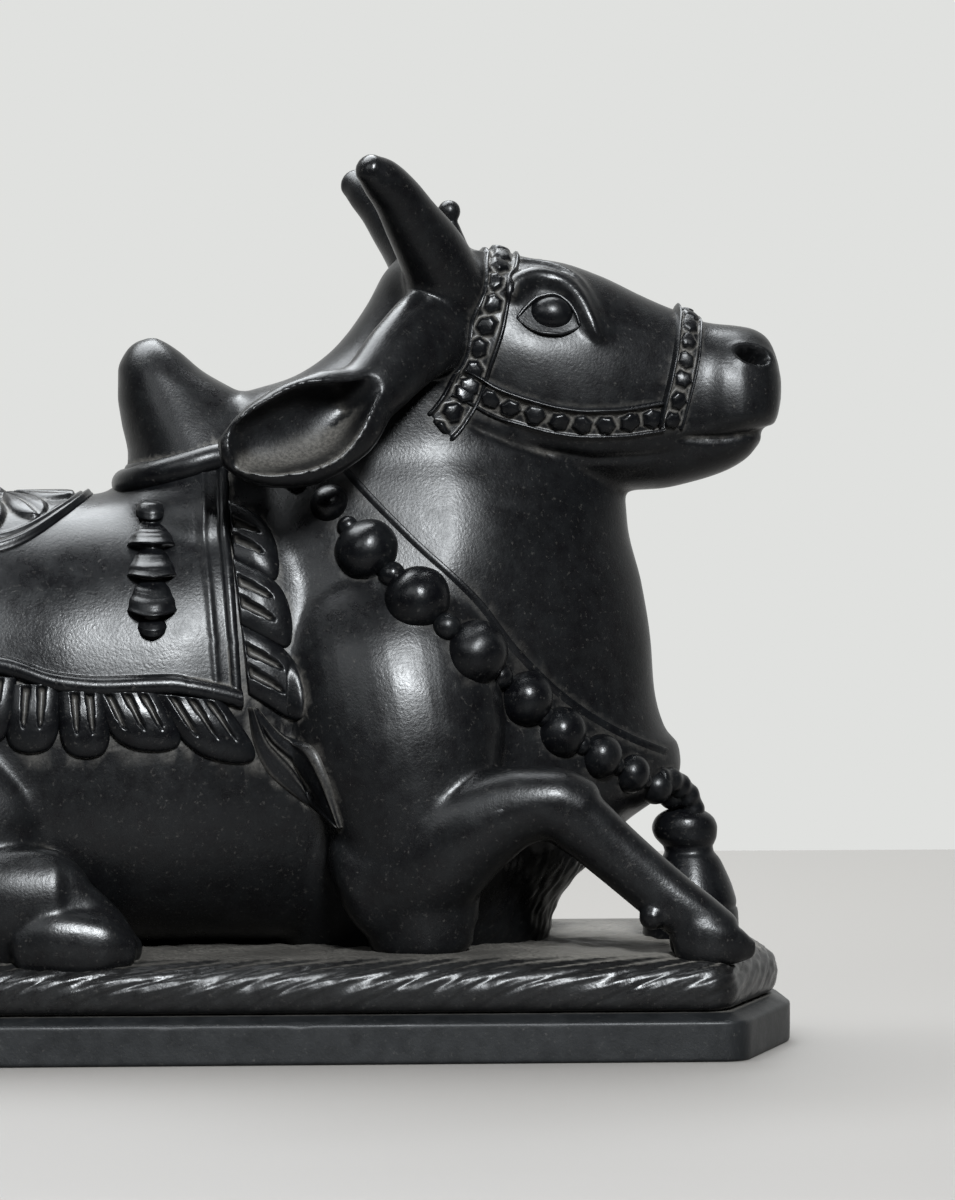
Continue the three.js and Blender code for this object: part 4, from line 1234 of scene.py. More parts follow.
@dataclass
class Fringe:
    """The lappets that hang from the hem, those along the front border, and the corner tassel."""

    ground: Ground
    lappet_height: float = 3.5
    slot_depth: float = 2.1
    slot_share: float = 0.62
    corner_height: float = 2.3
    corner_slot: float = 1.7
    edge_sink: float = 0.9
    hanging: Rows = (
        # middle of the root, its height, width, run forward, drop, slots
        (-92, 76.4, 14.8, -4.4, 18.4, 2), (-77.6, 78, 14.8, -3.8, 18.6, 2), (-63, 79, 14.8, -3.2, 18.6, 2),
        (-49, 78.2, 14.8, -2.8, 18.8, 2), (-35.2, 77, 14.8, -2.4, 18.6, 2), (-23.6, 75, 15.2, -1.0, 19, 2),
        (-10.6, 73.2, 14.4, 1.4, 18.6, 2), (1.4, 72.8, 20.4, 8.2, 16.4, 3), (19.2, 71.4, 21.4, 11.4, 18.4, 3),
    )
    standing: Rows = (
        # x of the root's middle, its height, width, run forward, drop, slots
        (31.2, 117.6, 18.5, 13.4, 7.8, 2), (32.6, 100.6, 20, 15.6, 8.8, 2), (34.6, 81.8, 21, 17.0, 9.8, 2),
    )
    corner_left: Rows = ((35.4, 68.6), (36.5, 60.2), (39.9, 51.6), (47.3, 44.4), (61.4, 35.2))
    corner_right: Rows = ((37.6, 68.6), (46.1, 60.8), (53.5, 58.0), (57.2, 51.0), (61.8, 35.0))

    def leaf(self, side: float, left: Array, right: Array, relief: Relief) -> Array:
        """A leaf between two edges in the side view, with its relief over the body.

        Args:
            side: the sign of the side.
            left: points of its rear edge.
            right: points of its front edge.
            relief: its height by the places across and down.

        Returns:
            The closed sections, (n, m, 3).
        """
        u = np.linspace(-1, 1, 43)[None, :]
        v = np.linspace(0, 1, len(left))[:, None]
        plan = left[:, None] * (1 - u[..., None]) / 2 + right[:, None] * (1 + u[..., None]) / 2
        base = self.ground.sideways(plan[..., 0], plan[..., 1], side)
        outwards = np.broadcast_to([0.0, side, 0.0], base.shape)
        return raised(base, outwards, relief(*np.broadcast_arrays(u, v)), soft=6)

    def tongue(self, side: float, root: Array, across: Array, down: Array, slots: int) -> Array:
        """A lappet: full to half its length, closed below as a rounded oblong is, (1 - t^2.6)^(1 / 2.6).

        Args:
            side: the sign of the side.
            root: the middle of its root.
            across: from there to its edge.
            down: from there to its tip.
            slots: how many slots it has.

        Returns:
            The closed sections, (n, m, 3).
        """
        v = np.linspace(0, 1, 46)
        late = np.clip((v - 0.42) / 0.58, 0, 1)
        spread = ((0.94 + 0.12 * v) * (1 - late**2.6) ** (1 / 2.6))[:, None]
        middle = root + down * v[:, None]
        return self.leaf(side, middle - across * spread, middle + across * spread, self.lappet_relief(slots))

    def tucked(self, cushion: Array, u: Array, v: Array, last: float) -> Array:
        """A cushion whose sides, and whose tip past a share of its length, are brought down into the stone."""
        edge = np.maximum(smoothstep(0.95, 1.0, np.abs(u)), smoothstep(last, 1.0, v))
        return cushion * (1 - edge) - self.edge_sink * edge

    def lappet_relief(self, slots: int) -> Relief:
        """A full cushion with slots cut into it from the root, narrow at both ends, and glossy fingers between.

        Args:
            slots: how many slots it has.

        Returns:
            The height by the places across and down.
        """
        width = self.slot_share / slots

        def relief(u: Array, v: Array) -> Array:
            """Height over the body for places across (u) and down (v) the lappet.

            Args:
                u: places across, from -1 to 1.
                v: places down, from 0 to 1.

            Returns:
                The height there.
            """
            fullness = np.clip(1 - np.abs(u) ** 2.8, 0, 1) ** 0.5
            closing = np.clip(1 - np.clip(v - 0.15, 0, 1) ** 4 / 0.53, 0, 1) ** 0.5
            cushion = self.lappet_height * fullness * closing
            cushion = cushion * (0.72 + 0.28 * smoothstep(0.0, 0.45, v))
            for middle in SLOT_PLACES[slots]:
                across = (u - middle) / (0.5 * width * (1.25 - 1.15 * v))
                end = 0.66 - 0.1 * across**2
                open_slot = smoothstep(-0.02, 0.1, v) * (1 - smoothstep(end - 0.12, end, v))
                cushion = cushion - self.slot_depth * open_slot * np.clip(1 - across**2, 0, 1) ** 0.7
            return self.tucked(cushion, u, v, 0.975)
        return relief

    def corner_relief(self, u: Array, v: Array) -> Array:
        """A leaf with a raised rim on its upper side and a long slot down its middle.

        Args:
            u: places across, from -1 to 1.
            v: places down, from 0 to 1.

        Returns:
            The height there.
        """
        cushion = self.corner_height * np.clip(1 - np.abs(u) ** 3, 0, 1) ** 0.5 * (1 - 0.45 * v)
        vein = smoothstep(0.08, 0.25, v) * (1 - smoothstep(0.62, 0.78, v))
        cushion = cushion - self.corner_slot * vein * bump(u, -0.08, 0.13)
        cushion = cushion + 0.7 * bump(u, 0.78, 0.12) + 0.35 * bump(u, -0.36, 0.14)
        return self.tucked(cushion, u, v, 0.985)

    def build(self) -> bpy.types.Object:
        """The whole fringe, both sides.

        Returns:
            The piece.
        """
        grids = []
        for side in SIDES:
            placed = [(row, (1.0, -0.12 if row[0] > 10 else 0.0)) for row in self.hanging]
            placed += [(row, (-0.1, 1.0)) for row in self.standing]
            for (x, height, width, run, drop, slots), way in placed:
                across = 0.5 * width * np.array(way)
                grids.append(self.tongue(side, np.array([x, height]), across, np.array([run, -drop]), slots))
            left, right = (along(np.array(rows, float), 76) for rows in (self.corner_left, self.corner_right))
            grids.append(self.leaf(side, left, right, self.corner_relief))
        return piece_of("cloth_fringe", grids)


@dataclass
class Tassels:
    """The strings of bell-shaped tufts that hang down the cloth on both sides."""

    ground: Ground
    x: float = 9.0
    top: float = 125.0
    bottom: float = 87.4
    ribs: float = 12.5
    rib_height: float = 0.12
    flatness: float = 0.78
    drape: float = 0.5
    stand_off: float = 0.9
    profile: Rows = (
        # share of the way down, radius
        (0, 2.2), (0.02, 3.6), (0.06, 4.4), (0.10, 4.0), (0.125, 2.6), (0.14, 2.6), (0.17, 3.8), (0.22, 5.0),
        (0.28, 6.0), (0.335, 6.7), (0.347, 6.3), (0.36, 3.4), (0.375, 3.1), (0.41, 4.3), (0.46, 5.4), (0.52, 6.4),
        (0.565, 6.9), (0.577, 6.4), (0.59, 3.4), (0.605, 3.2), (0.64, 4.4), (0.69, 5.5), (0.76, 6.5), (0.81, 6.9),
        (0.823, 6.3), (0.838, 3.0), (0.862, 2.4), (0.885, 3.6),
        (0.92, 4.1), (0.96, 3.5), (0.99, 1.6), (1.0, 0.4))

    def string(self, side: float) -> Array:
        """One string: its profile turned about a line down the cloth and flattened, with ribs round every dome.

        A ring is drawn down by drape · radius where it faces out, so that the domes' rims hang in curves.

        Args:
            side: the sign of the side.

        Returns:
            The closed sections, (n, m, 3).
        """
        heights, rings = np.linspace(self.top, self.bottom, 60), 240
        path = along(self.ground.sideways(np.full(len(heights), self.x), heights, side), rings)
        table = np.array(self.profile)
        share = np.linspace(0, 1, rings)
        radius = np.interp(share, table[:, 0], table[:, 1])
        radius = radius + self.rib_height * np.sin(share * 2 * np.pi * self.ribs) * smoothstep(3.4, 5, radius)
        ahead = unit(np.gradient(path, axis=0))
        sideways = unit(np.array([1.0, 0, 0]) - ahead[:, :1] * ahead)
        out = np.cross(ahead, sideways)
        out *= np.sign(out[:, 1:2] * side)
        angle = turns(36)
        centre = path + out * self.stand_off
        facing = np.clip(np.cos(angle), 0, 1) ** 1.5
        return closed_loft(centre[:, None]
                           + sideways[:, None] * (radius[:, None] * np.sin(angle))[..., None]
                           + out[:, None] * (self.flatness * radius[:, None] * np.cos(angle))[..., None]
                           + ahead[:, None] * (self.drape * radius[:, None] * facing)[..., None])

    def build(self) -> bpy.types.Object:
        """Both strings."""
        return piece_of("cloth_tassels", [self.string(side) for side in SIDES])


@dataclass
class Medallion:
    """The open lotus on the middle of the back."""

    ground: Ground
    x: float = -37.0
    radius: float = 30.0
    spread: float = 1.22
    petals: int = 10
    seeds: int = 8
    petal_height: float = 1.5
    vein_depth: float = 0.8
    boss_height: float = 2.2
    plate: float = 1.15
    rings: Rows = (
        # height, share of the radius, width
        (1.5, 0.955, 0.028), (1.0, 0.885, 0.02), (1.1, 0.235, 0.03))

    def relief(self, radius: Array, angle: Array) -> Array:
        """Rings, a circle of petals with a vein each, and a seeded boss, by radius and angle.

        Args:
            radius: distances from its middle.
            angle: angles round it.

        Returns:
            The height there.
        """
        share = radius / self.radius
        _, across = cell_share((angle / (2 * np.pi)) % 1, self.petals)
        width = np.clip(np.sin(np.clip((share - 0.26) / 0.60, 0, 1) * np.pi), 0, 1) ** 0.6
        inside = np.clip(1 - np.abs(across) / np.maximum(0.95 * width, 1e-3), 0, 1)
        full = self.petal_height * np.clip(inside * 3, 0, 1) ** 0.5
        petal = (full - self.vein_depth * bump(across, 0, 0.12) * (inside > 0)) * (width > 0.02)
        rings = sum(height * bump(share, place, wide) for height, place, wide in self.rings)
        boss = self.boss_height * np.clip(1 - (share / 0.19) ** 2, 0, 1) ** 0.5
        _, seed_run = cell_share((angle / (2 * np.pi)) % 1, self.seeds)
        seeds = 0.5 * bump(share, 0.12, 0.03) * np.clip(1 - np.abs(seed_run), 0, 1)
        return self.plate + petal + rings + boss + seeds

    def build(self) -> bpy.types.Object:
        """The lotus as one closed piece, in rings round its middle, wider across the back than along it.

        Returns:
            The piece.
        """
        radius = np.linspace(0.3, self.radius, 84)[:, None]
        angle = turns(240)[None, :]
        base = self.ground.downwards(self.x + radius * np.cos(angle), self.spread * radius * np.sin(angle))
        normal = grid_normals(base, np.broadcast_to([0.0, 0.0, 1.0], base.shape))
        top = base + normal * self.relief(radius, angle)[..., None]
        foot = base[-1:] - normal[-1:] * 1.0
        under = base[::-12] - normal[::-12] * 1.4
        return piece_of("back_medallion", [closed_loft(np.concatenate([top, foot, under]))])


@dataclass
class Garland:
    """The collar roll round the foot of the hump, the string of great beads and the cord beside it."""

    ground: Ground
    collar: Rows = ((8, 132.4), (14, 134), (21, 136), (28, 138.4), (36, 139), (44, 136), (51, 130))
    collar_back: Rows = ((3.0, -13, 130.4), (2.4, 0, 130.6), (3.0, 13, 130.4))
    under_ear: float = 44.0
    reach: float = 100.0
    collar_radius: float = 4.3
    collar_sunk: float = 0.3
    bead_sunk: float = 0.12
    bead_flatness: float = 0.08
    unevenness: float = 0.014
    link_share: float = 0.42
    strand_radius: float = 3.7
    edge_half: float = 1.5
    edge_rise: float = 0.5
    beads: Rows = ((59, 125.2, 5.6), (69.2, 112, 9.3), (82.9, 98.3, 9.8), (98.9, 83.3, 9.8), (114, 70, 8.3),
                   (124.3, 60.4, 7.6), (136, 53.4, 6.6), (145.4, 48, 5.8), (153.6, 43.6, 5.2), (159.3, 41, 4.4))
    cord: Rows = ((62, 138), (66, 133), (82, 116), (101, 98), (112, 84), (129, 68.6), (146, 58.8), (157, 54.3))

    def roll(self) -> Array:
        """The padded roll, from one side over the back behind the hump to the other.

        Returns:
            The closed sections, (n, m, 3).
        """
        rows = np.array(self.collar, float)
        near = self.ground.sideways(rows[:, 0], rows[:, 1], Side.NEAR.value, self.under_ear)
        near[:, 1] -= self.collar_sunk * self.collar_radius
        far = near * (1, -1, 1)
        count = 220
        path = softened_line(along(np.vstack([near[::-1], np.array(self.collar_back), far]), count), 90)
        ends = 0.45 + 0.55 * np.sin(np.linspace(0, np.pi, count)) ** 0.25
        return tube(path, self.collar_radius * ends, 28)

    def bead(self, side: float, index: int) -> Array:
        """A bead, a little flatter along the string, with the slight unevenness of hand work.

        Args:
            side: the sign of the side.
            index: its number from the top.

        Returns:
            The closed sections, (n, m, 3).
        """
        x, height, radius = self.beads[index]
        ring = 0.6 * radius * np.array([[0, 0], [1, 0], [-1, 0], [0, 1], [0, -1]])
        depth = np.abs(self.ground.sideways(x + ring[:, 0], height + ring[:, 1], side)[:, 1])
        met = depth[depth < self.reach]
        seat = np.array([x, side * (met.mean() - self.bead_sunk * radius), height])
        grid = ball((0, 0, 0), (radius,) * 3, 48, 30)
        following = self.beads[min(index + 1, len(self.beads) - 1)]
        before = self.beads[max(index - 1, 0)]
        run = unit(np.array([following[0] - before[0], 0.0, following[1] - before[1]]))
        grid = grid - self.bead_flatness * (grid @ run)[..., None] * run
        grid = grid * (1 + self.unevenness * ripple(grid + seat, 9, 11)[..., None])
        return grid + seat

    def links(self, side: float) -> list[Array]:
        """The short collars of stone between the beads.

        Args:
            side: the sign of the side.

        Returns:
            A ball for each.
        """
        rows = np.array(self.beads, float)
        middle = (rows[1:] + rows[:-1]) / 2
        seats = self.ground.sideways(middle[:, 0], middle[:, 1], side)
        return [ball(seat, (radius,) * 3, 20, 12) for seat, radius in zip(seats, self.link_share * middle[:, 2])]

    def ending(self, side: float) -> Array:
        """The twisted strand from the last bead to the loop of the bell.

        Args:
            side: the sign of the side.

        Returns:
            The closed sections, (n, m, 3).
        """
        count = 90
        path = along(np.array([[153.5, side * 13, 46], [157.4, side * 9.4, 45.4], [161.2, side * 5.2, 43],
                               [164.2, side * 2.2, 39], [165.8, side * 0.6, 33]]), count)
        twist = 1 + 0.06 * np.sin(np.linspace(0, 2 * np.pi * 5, count))
        return tube(path, self.strand_radius * twist, 20)

    def neck_edge(self, side: float) -> Array:
        """The edge that runs beside the beads: the stone rises slowly towards it and then drops sharply.

        Args:
            side: the sign of the side.

        Returns:
            The closed sections, (n, m, 3).
        """
        line = along(np.array(self.cord, float), 200)
        ahead = unit(np.gradient(line, axis=0))
        away = np.stack([-ahead[:, 1], ahead[:, 0]], -1)
        across = np.linspace(-1, 1, 27)
        plan = line[:, None] + away[:, None] * (across * self.edge_half - 1.0)[None, :, None]
        outset = np.where(plan[..., 0] < 78, self.under_ear, FAR_OUT)
        base = self.ground.sideways(plan[..., 0], plan[..., 1], side, outset)
        rise = self.edge_rise * smoothstep(-0.9, 0.4, across) * (1 - smoothstep(0.7, 0.95, across))
        relief = np.where(np.abs(across) > 0.97, -0.5, rise - 0.08)
        return raised(base, np.broadcast_to([0.0, side, 0.0], base.shape),
                      np.broadcast_to(relief, base.shape[:2]).copy(), soft=8)

    def build(self) -> bpy.types.Object:
        """The roll, the beads and the cords.

        Returns:
            The piece.
        """
        grids = [self.roll()]
        for side in SIDES:
            grids += [self.bead(side, index) for index in range(len(self.beads))]
            grids += [*self.links(side), self.ending(side), self.neck_edge(side)]
        return piece_of("garland", grids)


def softened_line(path: Array, rounds: int) -> Array:
    """A path whose inner points are moved halfway to the mean of their neighbours, round after round.

    Args:
        path: the points, (n, 3).
        rounds: how often.

    Returns:
        The new points.
    """
    path = path.copy()
    for _ in range(rounds):
        path[1:-1] += 0.5 * ((path[:-2] + path[2:]) / 2 - path[1:-1])
    return path


@dataclass
class Bell:
    """The bell on the chest, with the loop that holds it."""

    x: float = 165.0
    loop_back: float = 1.8
    loop_flatness: float = 0.05
    profile: Rows = (
        # height, radius
        (37.2, 0.3), (37, 2.6), (36.4, 4.8), (35.2, 7.0), (33.6, 8.4), (31.2, 9.0),
        (28.6, 8.7), (26.8, 7.8), (25.6, 7.1), (24.6, 7.1), (22.6, 8.2), (19, 10.0), (14, 12.1), (9.4, 13.2),
        (8.6, 13.0), (7.9, 13.5), (5, 13.8), (1, 13.9), (-SINK, 13.9))

    def build(self) -> bpy.types.Object:
        """The bell as a turned form.

        Returns:
            The piece.
        """
        table = along(np.array(self.profile), 110)
        height, radius = table[:, :1], table[:, 1:2]
        angle = turns(72)
        ring = np.stack([np.cos(angle), np.sin(angle), np.zeros_like(angle)], -1)
        lobes = 1 + self.loop_flatness * np.cos(2 * angle) * bump(height, 31, 4)
        centres = np.stack([self.x - self.loop_back * smoothstep(21, 31, height), np.zeros_like(height), height], -1)
        return piece_of("chest_bell", [closed_loft(centres + ring[None] * (radius * lobes)[..., None])])


@dataclass
class Plan:
    """The outline of the plinth or the slab: a long oblong whose corners are cut off and softly rounded."""

    half_length: float
    half_width: float
    corner_length: float = 20.0
    rounding: float = 0.35
    cut_share: float = 0.74

    def points(self, count: int) -> tuple[Array, Array, float]:
        """Evenly spaced points round the outline, their outward directions, and its length.

        Args:
            count: how many points.

        Returns:
            The points and directions, (count, 2) each, and the length.
        """
        length, width = self.half_length, self.half_width
        cut = self.cut_share * width
        quarter = [(length, width - cut), (length - self.corner_length, width)]
        corners = np.array([(length, -width + cut), *quarter,
                            (-length + self.corner_length, width), (-length, width - cut), (-length, -width + cut),
                            (-length + self.corner_length, -width), (length - self.corner_length, -width)])
        reach = self.rounding * self.corner_length
        share = np.linspace(0, 1, 24)[:, None]
        runs = []
        for corner, before, after in zip(corners, np.roll(corners, 1, 0), np.roll(corners, -1, 0)):
            start = corner + unit(before - corner) * reach
            stop = corner + unit(after - corner) * reach
            runs.append((1 - share) ** 2 * start + 2 * share * (1 - share) * corner + share**2 * stop)
        path = np.vstack([*runs, runs[0][:1]])
        run = travelled(path)
        places = np.arange(count) / count * run[-1]
        found = np.stack([np.interp(places, run, path[:, k]) for k in (0, 1)], -1)
        ahead = unit(np.roll(found, -1, 0) - np.roll(found, 1, 0))
        return found, np.stack([ahead[:, 1], -ahead[:, 0]], -1), run[-1]


def in_frame(plan: Array, height: Array | float) -> Array:
    """Points of the plinth or the slab, given in the shared frame's millimetres, as figure units."""
    level = np.broadcast_to(height - PLINTH_TOP, plan.shape[:-1])
    return np.concatenate([plan + (FIGURE_MIDDLE, 0), level[..., None]], -1)


def spine_of(ring: Array) -> Array:
    """The points of the line in the middle that lie nearest to the points of a ring, (n, 2)."""
    return np.stack([np.clip(ring[:, 0], -SPINE, SPINE), np.zeros(len(ring))], -1)


def drawn_in(ring: Array, spine: Array, steps: Array) -> Array:
    """Rings between an outline and the line in its middle: ring · (1 - t) + spine · t for each step t."""
    return ring[None] * (1 - steps) + spine[None] * steps


def level_ways(outward: Array) -> Array:
    """Outward directions in the plan as directions in space, (n, 3)."""
    return np.concatenate([outward, np.zeros((len(outward), 1))], 1)


def fanned(outward: Array, reach: int) -> Array:
    """The outward directions of a ring, each averaged over its neighbours, so that they fan out at the corners."""
    return unit(sum(np.roll(outward, shift, 0) for shift in range(-reach, reach + 1)))


@dataclass
class Plinth:
    """The plinth: its rim swells out and is cut into flutes that sweep up and forward over the shoulder."""

    plan: Plan = field(default_factory=lambda: Plan(179.0, 72.0))
    foot: float = SLAB_TOP + JOINT_GAP
    pitch: float = 14.0
    corner_fan: float = 10.0
    depth: float = 0.75
    chip: float = 0.16
    rim: Rows = (
        # way up the rim, inset, height, share of the flutes' depth, lean along the edge
        (0.0, 3.2, 13.8, 0.0, 0), (0.10, 1.4, 14.8, 0.15, 3), (0.24, 0.35, 17.2, 0.35, 8), (0.40, 0.0, 20.2, 0.6, 14),
        (0.54, 0.5, 23.0, 0.85, 21), (0.66, 2.2, 25.4, 1.0, 30), (0.77, 5.2, 27.1, 0.9, 41),
        (0.88, 9.4, 28.2, 0.6, 54), (1.0, 14.5, 28.7, 0.0, 68))

    @staticmethod
    def top_dust_and_shade(points: Array, normals: Array) -> Array:
        """The pale dust on the plinth's top, in drifts, and painted shade: the top is paler round the bell and the
        forward foot and darker behind them, where the body shades it.

        Args:
            points: the vertices, (n, 3).
            normals: their normals.

        Returns:
            The dust at each, with less of it where the body's shade is painted.
        """
        drift = smoothstep(-0.6, 0.9, ripple(points, 24, 51))
        # Painted shade: the dust thins out from x = 132 back to x = 96, so the top is darker where the body shades it.
        amount = 0.38 + 0.12 * drift + 0.45 * smoothstep(96, 132, points[:, 0])
        return amount * smoothstep(0.93, 0.99, normals[:, 2])

    def flutes(self, place: Array, way: Array) -> Array:
        """Rounded ridges with sharp furrows, |cos|^0.75, and two or three finer strokes on every ridge.

        Args:
            place: the way along the edge.
            way: the share of the way up the rim.

        Returns:
            The height, which is 0 on the ridges and less between them.
        """
        phase = np.pi * place / self.pitch
        ridge = np.abs(np.cos(phase)) ** 0.75
        strokes = np.abs(np.cos(2.6 * phase + 0.6 + 0.5 * np.sin(way * 5)))
        return ridge - 1 + 0.35 * (strokes - 1)

    def build(self) -> bpy.types.Object:
        """The plinth as one closed piece.

        Returns:
            The piece.
        """
        columns, rows = 1000, 38
        outline, outward, length = self.plan.points(columns)
        outward = fanned(outward, round(self.corner_fan / length * columns))
        way = np.linspace(0, 1, rows)
        table = np.array(self.rim, float)
        profile = monotone(table[:, 0], table, way)
        inset, height, share, lean = (profile[:, k][:, None] for k in (1, 2, 3, 4))
        count = round(length / self.pitch)
        total = count * self.pitch
        along_edge = np.arange(columns)[None, :] / columns * count * self.pitch
        uneven = (3.4 * np.sin(along_edge * 2 * np.pi * 7 / total)
                  + 2.2 * np.sin(along_edge * 2 * np.pi * 16 / total + 1))
        cut = self.depth * share * self.flutes(along_edge - lean + uneven, way[:, None])
        rise, retreat = np.gradient(height[:, 0])[:, None], np.gradient(inset[:, 0])[:, None]
        slope = np.hypot(rise, retreat)
        out = -inset + cut * rise / slope
        rim = in_frame(outline[None] + outward[None] * out[..., None], height + cut * retreat / slope)
        chips = ripple(rim, 6.0, 21)[..., None] * self.chip
        rim = rim + level_ways(outward)[None] * chips * share[..., None]
        inner, low = outline - outward * self.rim[-1][1], outline - outward * self.rim[0][1]
        spine = spine_of(inner)
        top = in_frame(drawn_in(inner, spine, np.linspace(0, 1, 26)[1:, None, None] ** 0.85), PLINTH_TOP)
        waves = 0.28 * ripple(top, 17, 31) + 0.22 * ripple(top * (1, 2.5, 1), 9, 32)
        top[..., 2] += waves * np.minimum(1, np.arange(1, 26) / 3)[:, None]
        under = in_frame(drawn_in(low, spine, np.linspace(1, 0, 6)[:-1, None, None]), self.foot)
        return piece_of("fluted_plinth", [np.concatenate([under, rim, top])])


@dataclass
class Slab:
    """The plain slab under the plinth, with a sloping ledge and a worn edge."""

    plan: Plan = field(default_factory=lambda: Plan(182.5, 74.0))
    profile: Rows = (
        # inset, height
        (1.0, 0.0), (0.35, 0.25), (0.05, 0.8), (0.0, 1.6), (0.0, 5.0), (0.0, 10.0), (0.05, 10.8), (0.45, 11.25),
        (1.2, 11.6), (3.5, 12.6), (5.6, 13.4), (6.4, 13.5))

    def build(self) -> bpy.types.Object:
        """The slab as one closed piece.

        Returns:
            The piece.
        """
        columns = 480
        outline, outward, _ = self.plan.points(columns)
        table = along(np.array(self.profile, float), 44)
        inset, height = table[:, 0][:, None], table[:, 1][:, None]
        edge = in_frame(outline[None] - outward[None] * inset[..., None], height)
        wear = smoothstep(9.6, 11.2, height) * smoothstep(12.6, 11.4, height)
        chip = np.clip(ripple(edge, 5, 41) - 0.9, 0, None) * 0.5 * wear + 0.05 * ripple(edge, 14, 42)
        edge = edge - level_ways(outward)[None] * np.clip(chip, 0, None)[..., None]
        spine, steps = spine_of(outline), np.linspace(0, 1, 8)[1:, None, None]
        bottom, top = (in_frame(drawn_in(edge[row, :, :2] - (FIGURE_MIDDLE, 0), spine, steps), level)
                       for row, level in ((0, 0.0), (-1, SLAB_TOP)))
        return piece_of("stone_slab", [np.concatenate([bottom[::-1], edge, top])])


def linear(code: str) -> tuple[float, float, float, float]:
    """An sRGB hex colour as linear red, green, blue and alpha."""
    channels = [int(code[k:k + 2], 16) / 255 for k in (1, 3, 5)]
    return (*[c / 12.92 if c <= 0.04045 else ((c + 0.055) / 1.055) ** 2.4 for c in channels], 1.0)


def node(tree: bpy.types.NodeTree, kind: str, inputs: dict | None = None, **settings: object) -> bpy.types.Node:
    """Adds a shader node, sets its own settings, and sets or links its inputs by name or number.

    Args:
        tree: the node tree.
        kind: the node's type.
        inputs: values and sockets by input.
        settings: the node's own settings.

    Returns:
        The node.
    """
    made = tree.nodes.new(kind)
    for name, value in settings.items():
        setattr(made, name, value)
    for name, value in (inputs or {}).items():
        if isinstance(value, bpy.types.NodeSocket):
            tree.links.new(value, made.inputs[name])
        else:
            made.inputs[name].default_value = value
    return made


